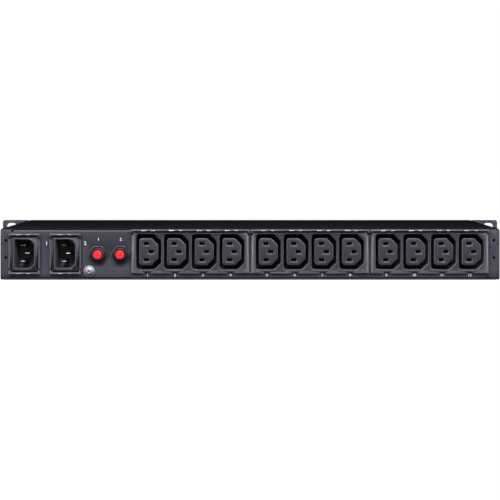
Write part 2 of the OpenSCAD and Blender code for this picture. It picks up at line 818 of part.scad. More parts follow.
module earth_screw() color("silver") translate([earth_x, rear_y, earth_z]) difference() {
    rotate([90, 0, 0]) rotate_extrude()
        polygon(concat(
            [[0, -earth_l], [earth_d / 2, -earth_l], [earth_d / 2, washer_t]],
            [for (r = [earth_flange_d / 2], t = [0, earth_flange_t]) [r, washer_t + t]],
            [[earth_head_d / 2, washer_t + earth_flange_t]],
            arc(earth_head_d / 2 - 1.2, washer_t + earth_head_h - 1.2, 1.2, 0, 90),
            [[0, washer_t + earth_head_h]]
        ));
    for (a = [0, 90])
        rotate([0, a, 0])
            slab(earth_recess[0], earth_recess[1], -washer_t - earth_head_h - eps, -washer_t - 0.9);
}

// Washer with teeth cut round its rim
module earth_washer() color("silver") translate([earth_x, rear_y, earth_z]) difference() {
    rod(washer_d, -washer_t, 0);
    rod(earth_d + 2 * fit, -washer_t - eps, eps);
    for (i = [0:earth_teeth - 1])
        rotate([0, i * 360 / earth_teeth, 0]) translate([washer_d / 2, 0, 0])
            slab(tooth_cut[0], tooth_cut[1], -washer_t - eps, eps);
}

module earth_nut() color("silver") translate([earth_x, rear_y + panel_t + 2 * (ring_t + fit), earth_z])
difference() {
    rotate([-90, 0, 0]) cylinder(d = earth_nut_flats / cos(30), h = earth_nut_t, $fn = 6);
    rod(earth_d + 2 * fit, -eps, earth_nut_t + eps);
}

// ---- Power board -----------------------------------------------------------------------

// The board's four fixing places
module at_pillars()
    for (sx = [-1, 1], sy = [-1, 1])
        translate([board_x + sx * (board_l / 2 - pillar_in), board_y + sy * (board_w / 2 - pillar_in), 0])
            children();

module power_board() color("darkgreen") difference() {
    translate([board_left, board_low_y, board_z]) cube([board_l, board_w, board_t]);
    at_pillars() translate([0, 0, board_z - eps]) cylinder(d = screw_d + 2 * fit, h = board_t + 2 * eps);
}

module board_pillars() color("silver")
    at_pillars() translate([0, 0, floor_z]) difference() {
        cylinder(d = pillar_d, h = board_rise);
        translate([0, 0, board_rise - 4]) cylinder(d = screw_d + 2 * fit, h = 4 + eps);
    }

module board_screws() color("silver")
    at_pillars() translate([0, 0, board_top]) {
        cylinder(d = board_screw_head, h = board_screw_head_h);
        translate([0, 0, -board_t - 3.4]) cylinder(d = screw_d, h = board_t + 3.5);
    }

// Finned extrusion standing on the board, with a flat back for its devices
module heat_sink(x) color("silver") translate([x, sink_y, board_top]) {
    translate([-sink_l / 2, -sink_w / 2, 0]) cube([sink_l, sink_base, sink_h]);
    for (i = [0:sink_fins - 1])
        translate([-sink_l / 2 + i * (sink_l - fin_t) / (sink_fins - 1), -sink_w / 2, 0])
            cube([fin_t, sink_w, sink_h]);
}

module heat_sink_a() heat_sink(sink_x[0]);
module heat_sink_b() heat_sink(sink_x[1]);

// Two power devices on the flat back of a heat sink, each on three leads
module thyristors(x) color("black")
    for (s = [-1, 1])
        translate([x + s * sink_l / 4, sink_y - sink_w / 2 - device_t, board_top]) {
            difference() {
                translate([-device_w / 2, 0, device_lift]) cube([device_w, device_t, device_h]);
                translate([0, 0, device_lift + device_h - device_hole_in])
                    rod(device_hole_d, -eps, device_t + eps);
            }
            for (i = [-1:1])
                translate([i * leg_pitch - leg_w / 2, device_t / 2, 0])
                    cube([leg_w, leg_t, device_lift + 0.01]);
        }

module thyristors_a() thyristors(sink_x[0]);
module thyristors_b() thyristors(sink_x[1]);

module transfer_relays() color("black")
    for (i = [0:relay_n - 1])
        translate([relay_x + i * (relay[0] + part_gap), relay_y, board_top]) cube(relay);

// Laminated core with its winding bulging out on both sides
module supply_transformers() color("goldenrod")
    for (i = [0:transformer_n - 1])
        translate([transformer_x + i * (transformer[0] + part_gap), board_low_y + 2 * pad_in, board_top]) {
            translate([0, (transformer[1] - core_w) / 2, 0]) cube([transformer[0], core_w, transformer[2]]);
            translate([transformer[0] / 4, 0, winding_in])
                cube([transformer[0] / 2, transformer[1], transformer[2] - 2 * winding_in]);
            translate([transformer[0] / 4, 0, 0])
                cube([transformer[0] / 2, transformer[1], winding_in + 0.01]);
        }

module filter_capacitors() color("black")
    for (i = [0:capacitor_n - 1])
        translate([capacitor_x + i * (capacitor_d + part_gap), relay_y + relay[1], board_top])
            translate([capacitor_d / 2, -capacitor_d / 2, 0]) cylinder(d = capacitor_d, h = capacitor_h);

module current_sensors() color("black")
    for (i = [0, 1])
        translate([sensor_x, board_y + (i - 1) * sensor_pitch, board_top + sensor_d / 2 + sensor_foot])
            difference() {
                union() {
                    rod(sensor_d, 0, sensor_t);
                    translate([-sensor_d / 3, 0, -sensor_d / 2 - sensor_foot])
                        cube([sensor_d * 2 / 3, sensor_t, sensor_d / 4]);
                }
                rod(sensor_bore, -eps, sensor_t + eps);
            }

// Screw terminals: leads enter on the left, and their screws are under the top holes
module terminal_strip() color("darkgreen") difference() {
    translate([entry[0], board_y - terminal_n * terminal_pitch / 2, board_top])
        cube([terminal_w, terminal_n * terminal_pitch, terminal_h]);
    for (y = terminal_y) {
        translate([entry[0] - eps, y, entry[1]])
            rotate([0, 90, 0]) cylinder(d = entry_d, h = entry_l + eps);
        translate([entry[0] + terminal_w / 2, y, entry[1] + entry_d])
            cylinder(d = entry_d, h = terminal_h);
    }
}

// ---- Inner leads -----------------------------------------------------------------------

// Insulated lead through the given points
module lead(points) {
    for (i = [0:len(points) - 2]) {
        run_to = points[i + 1] - points[i];
        translate(points[i])
            rotate([0, acos(run_to[2] / norm(run_to)), atan2(run_to[1], run_to[0])])
                cylinder(d = lead_d, h = norm(run_to), $fn = lead_sides);
    }
    for (i = [1:len(points) - 2]) translate(points[i]) sphere(d = elbow_d, $fn = lead_sides);
}

// Where leads end: behind an inlet's pin, behind a breaker's tab and in the terminal strip
function pin_end(x, pole) = [x + pole[0], rear_y + cavity_d + inlet_back + tab_l, inlet_z + pole[1]];
function breaker_end(x, side) =
    [x, rear_y + panel_t + breaker_d + breaker_tab_l, breaker_z + side * breaker_tab_rise];
function entry_end(i) = [entry[0] + entry_l - 1, terminal_y[i], entry[1]];

LIVE = POLES[0];
EARTH = POLES[1];
NEUTRAL = POLES[2];

// From an inlet's live pin round to the top of its breaker
module live_leads() {
    pin_a = pin_end(inlet_a_x, LIVE);
    top_a = breaker_end(breaker_a_x, 1);
    lead([pin_a, pin_a + [0, 15, 0], pin_a + [22, 23, 0], top_a + [-8, 13, 0], top_a + [0, 9, 0], top_a]);

    pin_b = pin_end(inlet_b_x, LIVE);
    top_b = breaker_end(breaker_b_x, 1);
    lead([pin_b, pin_b + [0, 7, 0], pin_b + [10, 13, 6], top_b + [-10, 16, 6], top_b + [0, 12, 0], top_b]);
}

// From the breakers and the inlets' neutral pins to the terminal strip
module strip_leads() {
    low_b = breaker_end(breaker_b_x, -1);
    lead([low_b, low_b + [0, 4, 0], entry_end(0) - [8, 0, 0], entry_end(0)]);

    low_a = breaker_end(breaker_a_x, -1);
    lead([low_a, low_a + [0, 9, 0], [low_a[0] + 6, terminal_y[1], entry[1]], entry_end(1)]);

    pin_b = pin_end(inlet_b_x, NEUTRAL);
    lead([pin_b, pin_b + [0, 21, 0], [pin_b[0] + 12, terminal_y[2], entry[1]], entry_end(2)]);

    pin_a = pin_end(inlet_a_x, NEUTRAL);
    lead([pin_a, pin_a + [0, 27, 0], [pin_a[0] + 14, terminal_y[3], entry[1]], entry_end(3)]);
}

// From the tails of the outlets' contact strips down to the edge of the board
module outlet_leads()
    for (n = [0:2], pole = POLES) {
        x = block_x + n * block_pitch + tail_x(pole);
        z = block_z + recess_z + pole[1];
        tail_end = rear_y + block_d + back_plate_t + tail_l;
        pad_y = board_low_y + pad_in;
        lead([[x, tail_end, z], [x, pad_y - lead_d, z], [x, pad_y, z - lead_d], [x, pad_y, board_top]]);
    }

module power_leads() color("saddlebrown") {
    live_leads();
    strip_leads();
    outlet_leads();
}

// Ring terminal i on the earth screw: ring, neck and crimped barrel
function ring_at(i) = [earth_x, rear_y + panel_t + i * (ring_t + fit), earth_z];
function barrel_at(i) = ring_at(i) + barrel_out * [-cos(ring_turn * i), 0, sin(ring_turn * i)];

module ring_terminal(i) {
    translate(ring_at(i)) rotate([0, ring_turn * i, 0]) difference() {
        union() {
            rod(ring_d, 0, ring_t);
            translate([-barrel_out, 0, -ring_neck / 2]) cube([barrel_out, ring_t, ring_neck]);
        }
        rod(earth_d + 2 * fit, -eps, ring_t + eps);
    }
    translate(barrel_at(i)) rod(barrel_d, 0, barrel_l);
}

// Leads from the inlets' earth pins to the ring terminals
module earth_leads() color("yellowgreen") {
    ring_terminal(0);
    ring_terminal(1);
    crimp_a = barrel_at(0) + [0, barrel_l, 0];
    pin_a = pin_end(inlet_a_x, EARTH);
    lead([crimp_a, crimp_a + [0, 22, 0], crimp_a + [-20, 32, 0], pin_a + [0, 15, 0], pin_a]);
    crimp_b = barrel_at(1) + [0, barrel_l, 0];
    pin_b = pin_end(inlet_b_x, EARTH);
    lead([crimp_b, crimp_b + [0, 20, 0], crimp_b + [-6, 27, 6], pin_b + [0, 13, 0], pin_b]);
}

// ---- Front controls --------------------------------------------------------------------

module control_board() color("darkgreen")
    translate([control_x - control_l / 2, control_y - board_t, -control_h / 2])
        cube([control_l, board_t, control_h]);

module control_board_pillars() color("silver")
    for (s = [-1, 1], z = [-1, 1])
        translate([control_x + s * (control_l / 2 - pillar_in), 0, z * (control_h / 2 - pillar_in)])
            rod(pillar_d, control_y, front_y - panel_t);

module display_module() color("darkslategray")
    translate([display_x, 0, 0]) slab(window_w - 6, window_h - 3, control_y, front_y - panel_t - 1);

module display_window() color("black")
    translate([display_x, 0, 0])
        slab(window_w - 2 * fit, window_h - 2 * fit, front_y - panel_t - 1, front_y + 0.4);

module source_lamps() color("lime")
    for (x = lamp_x) translate([x, 0, 0]) rod(lamp_d, control_y, front_y + 0.4);

module push_cap(i) color("gray")
    translate([cap_x[i], 0, 0])
        rod(cap_d, control_y + switch_t + cap_travel + run, front_y + cap_out);

module select_button() push_cap(0);
module scroll_button() push_cap(1);
module mute_button() push_cap(2);

module button_switches() color("black")
    for (x = cap_x) translate([x, 0, 0]) slab(switch_w, switch_w, control_y, control_y + switch_t);

module jack(x) color("black") translate([x, 0, jack_z]) difference() {
    slab(jack_w, jack_h, jack_y + panel_t - jack_d, jack_y + panel_t);
    deep = jack_y + panel_t - jack_d + jack_back;
    translate([0, 0, jack_lift]) slab(jack_mouth[0], jack_mouth[1], deep, jack_y + panel_t + eps);
    translate([0, 0, -jack_mouth[1] / 2 - jack_step[1] / 2 + 1])
        slab(jack_step[0], jack_step[1] + 1, deep, jack_y + panel_t + eps);
}

module network_jack() jack(network_x);
module serial_jack() jack(serial_x);

// Card under both jacks, on its own pillars
module network_card() color("darkgreen")
    translate([card_x - card_l / 2, card_y, card_top - board_t]) cube([card_l, card_w, board_t]);

module card_pillars() color("silver")
    for (sx = [-1, 1], y = [card_y + card_pillar_in, card_y + card_w - panel_flange - card_pillar_in])
        translate([card_x + sx * (card_l / 2 - card_pillar_in), y, floor_z])
            cylinder(d = pillar_d, h = card_top - board_t - floor_z);

base_pan();
top_cover();
outlet_panel();
front_panel();
left_rack_ear();
right_rack_ear();
ear_screws();
cover_screws();
panel_screws();
clinch_nuts();
outlet_block_1();
outlet_block_2();
outlet_block_3();
outlet_contacts_1();
outlet_contacts_2();
outlet_contacts_3();
outlet_back_plate_1();
outlet_back_plate_2();
outlet_back_plate_3();
inlet_a_housing();
inlet_b_housing();
inlet_a_pins();
inlet_b_pins();
breaker_a_body();
breaker_b_body();
breaker_a_nut();
breaker_b_nut();
breaker_a_button();
breaker_b_button();
breaker_terminals();
earth_screw();
earth_washer();
earth_nut();
power_board();
board_pillars();
board_screws();
heat_sink_a();
heat_sink_b();
thyristors_a();
thyristors_b();
transfer_relays();
supply_transformers();
filter_capacitors();
current_sensors();
control_board();
control_board_pillars();
display_module();
display_window();
source_lamps();
select_button();
scroll_button();
mute_button();
button_switches();
network_jack();
serial_jack();
network_card();
card_pillars();
terminal_strip();
power_leads();
earth_leads();
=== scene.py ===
"""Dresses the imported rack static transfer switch: paints and plastics, rounded and shaded edges,
screws, threads, contacts and numbers, and a plain studio stage. Each operator makes one piece
or one group of like pieces around the frame, in metres, with +Z up and the outlets towards -Y."""

import json
import math

import bmesh
import bpy
from mathutils import Matrix, Vector


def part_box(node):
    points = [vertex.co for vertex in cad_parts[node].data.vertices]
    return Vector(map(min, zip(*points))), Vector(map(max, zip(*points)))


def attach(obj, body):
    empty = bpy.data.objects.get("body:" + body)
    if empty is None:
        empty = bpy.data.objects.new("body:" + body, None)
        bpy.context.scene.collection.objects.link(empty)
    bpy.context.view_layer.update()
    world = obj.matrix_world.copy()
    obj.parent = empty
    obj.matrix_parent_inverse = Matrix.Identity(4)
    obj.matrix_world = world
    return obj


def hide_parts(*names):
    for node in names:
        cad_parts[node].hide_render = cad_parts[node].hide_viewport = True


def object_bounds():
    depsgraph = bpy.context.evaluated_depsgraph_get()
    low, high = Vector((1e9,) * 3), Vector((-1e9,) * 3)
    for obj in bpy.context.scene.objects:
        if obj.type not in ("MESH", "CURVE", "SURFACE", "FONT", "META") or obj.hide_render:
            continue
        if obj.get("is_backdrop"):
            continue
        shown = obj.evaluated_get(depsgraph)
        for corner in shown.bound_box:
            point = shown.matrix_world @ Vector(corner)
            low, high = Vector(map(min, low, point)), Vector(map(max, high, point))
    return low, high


bl_info = {
    "name": "Rack transfer switch dresser",
    "version": (1, 0, 0),
    "blender": (4, 5, 0),
    "location": "View3D > Sidebar > Switch",
    "description": "Adds finishes, edges, fasteners, numbers and a stage to the transfer switch",
    "category": "Object",
}

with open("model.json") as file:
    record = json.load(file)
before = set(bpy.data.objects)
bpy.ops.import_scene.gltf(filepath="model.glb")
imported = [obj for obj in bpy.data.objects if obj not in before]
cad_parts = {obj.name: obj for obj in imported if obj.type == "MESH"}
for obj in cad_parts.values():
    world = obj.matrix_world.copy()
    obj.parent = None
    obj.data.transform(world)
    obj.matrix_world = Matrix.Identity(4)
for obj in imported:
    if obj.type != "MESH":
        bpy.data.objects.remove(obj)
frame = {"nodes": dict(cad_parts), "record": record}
CAD_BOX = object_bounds()

MM = 0.001
MERGE = 2e-6
ON_PLANE = 2e-5
BODY = {
    node: body
    for body, nodes in frame["record"]["behaviour"]["bodies"].items()
    for node in nodes
}
SLOT = {row["node"]: row["material_slot"] for row in frame["record"]["subparts"]}

# Places that the frame gives
PANEL_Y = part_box("outlet_panel")[0].y
FLANGE_Y = PANEL_Y - 1.4 * MM
COLLAR_Y = FLANGE_Y - 0.5 * MM
FOOT_Y = FLANGE_Y - 0.4 * MM
RAIL_Y = PANEL_Y - 2.4 * MM
NIB_Y = RAIL_Y - 0.35 * MM
PIN_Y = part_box("inlet_a_pins")[0].y
CASE_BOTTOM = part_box("base_pan")[0].z
OUTLET_PITCH = 24 * MM
GANGS = 4
NECK_RADIUS = 5.5 * MM
EARTH_THREAD_RADIUS = 2.0 * MM
EARTH_THREAD_PITCH = 0.7 * MM
BUTTON_SLIMMING = 0.36 * MM
BLOCKS = ("outlet_block_1", "outlet_block_2", "outlet_block_3")
SIDES = ("a", "b")

# Middles of the printed numbers: above the case's bottom, and beside their outlet or inlet
OUTLET_NUMBER_Z = 4.05 * MM
OUTLET_NUMBER_SHIFT = -1.2 * MM
INLET_NUMBER_Z = 31.5 * MM
INLET_NUMBER_SHIFT = {"a": 19.1 * MM, "b": 17.0 * MM}
BREAKER_NUMBER_Z = 34.8 * MM
DIGIT_SHARE = 0.7  # of a font's size that a digit is high

# Heights inside a flange's edge between which its grooves lie, and the depth of a cavity's walls
GROOVE_START = 1.6 * MM
GROOVE_END = 5.3 * MM
CAVITY_Y = PANEL_Y + 5 * MM

# Shares of painted highlight on rails, bars and the backs of cavities. Those below 0 are painted
# shade, which darkens.
GROOVE_SHADE = -0.85
CAVITY_BACK_HIGHLIGHT = 0.45
RAIL_HIGHLIGHT = 0.8
BAR_HIGHLIGHT = 0.5

# Angles above which corners are rounded and shading is sharp
ROUNDED_ANGLE = math.radians(40)
SHARP_ANGLE = math.radians(38)
TOOTHED_ANGLE = math.radians(45)


def centre(node):
    """Middle of a node's box."""
    low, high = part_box(node)
    return (low + high) / 2


# ---- Settings ----------------------------------------------------------------------------


def colour(name, description, value):
    return bpy.props.FloatVectorProperty(
        name=name, description=description, subtype="COLOR", size=3, min=0, max=1, default=value
    )


def length(name, description, value):
    return bpy.props.FloatProperty(
        name=name, description=description, unit="LENGTH", precision=5, min=0, default=value
    )


def amount(name, description, value, high=1.0):
    return bpy.props.FloatProperty(
        name=name, description=description, min=0, max=high, default=value
    )


class FinishSettings(bpy.types.PropertyGroup):
    case_paint: colour("Case paint", "Powder coat of panels, base and ears", (0.058, 0.058, 0.080))
    # The cover's near-black paint is partly its own darker paint and partly painted shade for a top
    # the lamps leave dark.
    cover_paint: colour("Cover paint", "Powder coat of the top cover", (0.0085, 0.0085, 0.0125))
    housing: colour("Housing plastic", "Outlet blocks and inlets", (0.041, 0.041, 0.053))
    # Housing rims: a painted highlight on marked rims, rails and bars, brighter on nibs.
    housing_rim: colour("Housing rims", "Highlighted rims of recesses, slots", (0.138, 0.141, 0.160))
    black: colour("Black plastic", "Breakers, jacks and inner parts", (0.010, 0.010, 0.013))
    red: colour("Button red", "Breakers' reset buttons", (0.95, 0.033, 0.048))
    grey: colour("Button grey", "Push buttons on the front", (0.16, 0.16, 0.17))
    brass: colour("Brass", "Contact strips", (0.75, 0.56, 0.28))
    nickel: colour("Nickel", "Pins and tabs", (0.62, 0.61, 0.58))
    zinc: colour("Zinc", "Earth screw, pillars and nuts", (0.58, 0.59, 0.65))
    board: colour("Board green", "Solder mask of the circuit boards", (0.012, 0.11, 0.045))
    ink: colour("Number ink", "Printed numbers", (0.75, 0.75, 0.78))


class EdgeSettings(bpy.types.PropertyGroup):
    rim: length("Rim radius", "Rounding of recesses, tongues and slots", 0.42 * MM)
    collar: length("Collar radius", "Rounding of the inlets' collars", 0.3 * MM)
    nut: length("Nut radius", "Rounding of the breakers' nuts", 0.3 * MM)
    sheet: length("Sheet edge", "Rounding of painted sheet edges", 0.12 * MM)
    thread_pitch: length("Thread pitch", "Pitch of the breakers' threaded necks", 0.5 * MM)


class NumberSettings(bpy.types.PropertyGroup):
    digit: length("Digit height", "Height of the outlets' numbers", 2.3 * MM)
    inlet_digit: length("Inlet digit height", "Height of the numbers beside the inlets", 2.9 * MM)
    breaker_digit: length("Breaker digit height", "Height of the breakers' numbers", 2.3 * MM)
    ink_depth: length("Ink thickness", "How far the print stands on the panel", 0.03 * MM)


class StageSettings(bpy.types.PropertyGroup):
    camera_distance: length("Camera distance", "From the camera to the outlet panel", 0.84)
    camera_height: length("Camera height", "Camera above the case's middle", 0.0856)
    lens: bpy.props.FloatProperty(name="Lens", description="Focal length", min=10, default=69.9)
    rise: bpy.props.FloatProperty(
        name="Rise", description="Vertical shift of the lens", default=-0.1896
    )
    sky: amount("Sky", "Strength of the light from all round", 0.3, 5)
    key: amount("Key light", "Power of the large lamp above the front, in watts", 3.0, 500)
    strip: amount("Strip light", "Power of the slim lamp above the outlets, in watts", 1.7, 500)
    side: amount("Side lights", "Power of each tall lamp beside the camera, in watts", 3.5, 500)


SETTINGS = {
    "switch_finish": FinishSettings,
    "switch_edges": EdgeSettings,
    "switch_numbers": NumberSettings,
    "switch_stage": StageSettings,
}


# ---- Node graphs -------------------------------------------------------------------------


class Wire:
    """An output socket on which arithmetic adds Math nodes."""

    def __init__(self, graph, socket):
        self.graph = graph
        self.socket = socket

    def math(self, operation, *values):
        return self.graph.node("ShaderNodeMath", {"operation": operation}, values)

    def __add__(self, other):
        return self.math("ADD", self, other)

    def __sub__(self, other):
        return self.math("SUBTRACT", self, other)

    def __rsub__(self, other):
        return self.math("SUBTRACT", other, self)

    def __mul__(self, other):
        return self.math("MULTIPLY", self, other)

    def __truediv__(self, other):
        return self.math("DIVIDE", self, other)

    def __lt__(self, other):
        return self.math("LESS_THAN", self, other)

    def __gt__(self, other):
        return self.math("GREATER_THAN", self, other)

    __radd__ = __add__
    __rmul__ = __mul__

    def clamp(self):
        return self.graph.node("ShaderNodeClamp", {}, [self, 0.0, 1.0])

    def ramp(self, low, high):
        """0 below low, 1 above high, and smooth between them."""
        return self.graph.node(
            "ShaderNodeMapRange", {"interpolation_type": "SMOOTHSTEP"}, [self, low, high, 0.0, 1.0]
        )


class Graph:
    """Adds nodes to a tree."""

    def __init__(self, tree):
        self.tree = tree
        tree.nodes.clear()

    def node(self, kind, settings=None, inputs=(), out=0):
        """A node of a kind, with its settings made first and then its sockets' values or links."""
        made = self.tree.nodes.new(kind)
        for name, value in (settings or {}).items():
            setattr(made, name, value)
        pairs = inputs.items() if isinstance(inputs, dict) else enumerate(inputs)
        for key, value in pairs:
            self.put(made.inputs[key], value)
        return Wire(self, made.outputs[out]) if made.outputs else None

    def put(self, socket, value):
        if isinstance(value, Wire):
            self.tree.links.new(value.socket, socket)
        else:
            socket.default_value = value

    def place(self):
        return self.node("ShaderNodeTexCoord", out="Object")

    def noise(self, scale, detail, place):
        """Noise from 0 to 1 whose patches are about 1/scale metres wide."""
        inputs = {"Vector": place, "Scale": scale, "Detail": detail}
        return self.node("ShaderNodeTexNoise", {}, inputs, "Fac")

    def mix(self, factor, first, second):
        """Colour between two colours or colour sockets."""
        sides = [v if isinstance(v, Wire) else (*v, 1.0)[:4] for v in (first, second)]
        inputs = {0: factor, 6: sides[0], 7: sides[1]}
        return self.node("ShaderNodeMix", {"data_type": "RGBA"}, inputs, 2)

    def mark(self, name):
        """A mesh attribute's number."""
        return self.node("ShaderNodeAttribute", {"attribute_name": name}, out="Fac")

    def bump(self, height, depth, strength):
        inputs = {"Strength": strength, "Distance": depth, "Height": height}
        return self.node("ShaderNodeBump", {}, inputs, "Normal")

    def surface(self, **sockets):
        """A Principled BSDF as the material's surface. Socket names have _ for spaces."""
        inputs = {name.replace("_", " "): value for name, value in sockets.items()}
        shader = self.node("ShaderNodeBsdfPrincipled", {}, inputs)
        self.node("ShaderNodeOutputMaterial", {}, [shader])


def shade(value, factor):
    """A colour made lighter or darker."""
    return tuple(min(1.0, part * factor) for part in value[:3])


# ---- Finishes ----------------------------------------------------------------------------


def powder_coat(graph, paint, painted_rear_shade=None):
    """Fine textured paint, slightly mottled, with a painted highlight where marked. A given
    rear-edge tone is painted shade on the rear cut edge.
    """
    place = graph.place()
    grain = graph.noise(1500, 3, place)
    cloud = graph.noise(38, 3, place)
    tone = graph.mix(grain * 0.5 + cloud * 0.5, shade(paint, 0.86), shade(paint, 1.14))
    # Painted highlight where marked: the outlet panel's top bend and the base pan's rear lip.
    tone = graph.mix(graph.mark("rim").clamp(), tone, shade(paint, 1.65))
    # The rear cut edge's tone is painted shade of the gap under the outlet rails.
    if painted_rear_shade:
        depth = graph.node("ShaderNodeSeparateXYZ", {}, [place], "Y")
        tone = graph.mix(1 - depth.ramp(PANEL_Y + 0.0002, PANEL_Y + 0.0005), tone, painted_rear_shade)
    graph.surface(
        Base_Color=tone,
        Roughness=0.52 + 0.14 * (grain - 0.5),
        Specular_IOR_Level=0.22 if painted_rear_shade is None else 0.0,
        Normal=graph.bump(grain + 0.3 * graph.noise(5200, 1, place), 0.00006, 0.5),
    )


def housing_plastic(graph, plastic, rim):
    """Spark-eroded moulding; where marked, smoother, with painted highlights and painted shade."""
    place = graph.place()
    spark = graph.noise(2600, 3, place)
    flow = graph.noise(60, 2, place)
    mark = graph.mark("rim")
    rims = mark.clamp()
    tone = graph.mix(spark * 0.6 + flow * 0.4, shade(plastic, 0.84), shade(plastic, 1.16))
    # Painted highlight: the rim tone, going to light grey on nibs, whose marks are above 1.
    painted_highlight = graph.mix((mark - 1.0).clamp() * 2.0, rim, (0.6, 0.6, 0.64))
    # Painted shade: marks below 0 darken grooves and cavity walls towards black.
    tone = graph.mix((mark * -1).clamp(), tone, (0.002, 0.002, 0.003))
    graph.surface(
        Base_Color=graph.mix(rims, tone, painted_highlight),
        Roughness=0.5 + 0.12 * (spark - 0.5) - 0.16 * rims,
        Specular_IOR_Level=0.3,
        Normal=graph.bump(spark, 0.00004, 0.45),
    )


def moulded(graph, plastic, rough=0.42, rim=None):
    """Plain moulded plastic with faint texture, and a painted highlight of tone rim where marked.
    """
    place = graph.place()
    texture = graph.noise(1900, 2, place)
    tone = graph.mix(graph.noise(90, 2, place), shade(plastic, 0.9), shade(plastic, 1.1))
    if rim:
        tone = graph.mix(graph.mark("rim").clamp(), tone, rim)
    graph.surface(
        Base_Color=tone,
        Roughness=rough + 0.1 * (texture - 0.5),
        Specular_IOR_Level=0.3,
        Normal=graph.bump(texture, 0.00003, 0.3),
    )


def button_plastic(graph, plastic):
    """Satin plastic, slightly mottled."""
    place = graph.place()
    texture = graph.noise(1200, 2, place)
    graph.surface(
        Base_Color=graph.mix(texture, shade(plastic, 0.94), shade(plastic, 1.03)),
        Roughness=0.36 + 0.08 * (texture - 0.5),
        Specular_IOR_Level=0.35,
        Normal=graph.bump(texture, 0.00002, 0.25),
    )


def plated(graph, metal, rough, brushed=(1.0, 1.0, 1.0), painted_shade_depths=None):
    """Plated metal with fine draw marks. Its painted shade depths are the two depths between which
    painted shade darkens it, and how much; marked, rounded tips are left lit."""
    place = graph.place()
    stretch = graph.node("ShaderNodeMapping", {}, {"Vector": place, "Scale": brushed})
    marks = graph.noise(1400, 3, stretch)
    stain = graph.noise(150, 3, place)
    tone = graph.mix(stain * 0.5 + marks * 0.5, shade(metal, 0.78), shade(metal, 1.12))
    if painted_shade_depths:
        start, end, share = painted_shade_depths
        depth = graph.node("ShaderNodeSeparateXYZ", {}, [place], "Y")
        # Painted shade between the two depths, except on marked tips.
        inside = (depth > start) * (depth < end) * (1 - graph.mark("rim").clamp())
        tone = graph.mix(inside * share, tone, (0.004, 0.004, 0.005))
    graph.surface(
        Base_Color=tone,
        Metallic=1.0,
        Roughness=rough + 0.16 * (marks - 0.5),
        Normal=graph.bump(marks, 0.00003, 0.35),
    )


def solder_mask(graph, mask):
    """Circuit board with copper tracks under its mask."""
    place = graph.place()
    inputs = {"Vector": place, "Scale": 260}
    cells = graph.node("ShaderNodeTexVoronoi", {"distance": "MANHATTAN"}, inputs, "Distance")
    tracks = cells.ramp(0.42, 0.46)
    fine = graph.noise(900, 2, place)
    graph.surface(
        Base_Color=graph.mix(tracks, shade(mask, 0.8), shade(mask, 1.7)),
        Roughness=0.3 + 0.1 * fine,
        Specular_IOR_Level=0.4,
        Normal=graph.bump(tracks + 0.2 * fine, 0.00004, 0.5),
    )


def wound(graph, tape):
    """Tape wound round a core, in fine bands."""
    place = graph.place()
    height = graph.node("ShaderNodeSeparateXYZ", {}, [place], "Z")
    bands = (height * 2200).math("SINE", height * 2200) * 0.5 + 0.5
    graph.surface(
        Base_Color=graph.mix(bands, shade(tape, 0.7), shade(tape, 1.1)),
        Roughness=0.5 + 0.1 * graph.noise(700, 2, place),
        Normal=graph.bump(bands, 0.00008, 0.5),
    )


def smoked_window(graph, tint):
    """Polished dark window, slightly uneven in tone."""
    place = graph.place()
    haze = graph.noise(420, 2, place)
    graph.surface(
        Base_Color=graph.mix(haze, shade(tint, 0.8), shade(tint, 1.3)),
        Roughness=0.1 + 0.06 * haze,
        Specular_IOR_Level=0.5,
        Coat_Weight=0.6,
        Coat_Roughness=0.04,
    )


def light_guide(graph, tint):
    """Clear green end of a light guide."""
    place = graph.place()
    depth = graph.noise(600, 2, place)
    graph.surface(
        Base_Color=graph.mix(depth, shade(tint, 0.8), shade(tint, 1.2)),
        Roughness=0.18 + 0.08 * depth,
        Coat_Weight=0.4,
    )


def lead_jacket(graph, jacket, stripe=None):
    """Insulated lead, with a stripe of a second colour where it has one."""
    place = graph.place()
    texture = graph.noise(800, 2, place)
    tone = graph.mix(texture, shade(jacket, 0.85), shade(jacket, 1.15))
    if stripe:
        height = graph.node("ShaderNodeSeparateXYZ", {}, [place], "Z")
        band = (height * 1200).math("SINE", height * 1200) > 0.3
        tone = graph.mix(band, tone, stripe)
    graph.surface(Base_Color=tone, Roughness=0.45 + 0.1 * texture, Specular_IOR_Level=0.35)


def ink(graph, tone):
    """Screen-printed ink, thin at places."""
    place = graph.place()
    wear = graph.noise(1600, 3, place)
    graph.surface(
        Base_Color=graph.mix(wear, shade(tone, 0.88), shade(tone, 1.06)),
        Roughness=0.55 + 0.1 * wear,
        Specular_IOR_Level=0.2,
    )


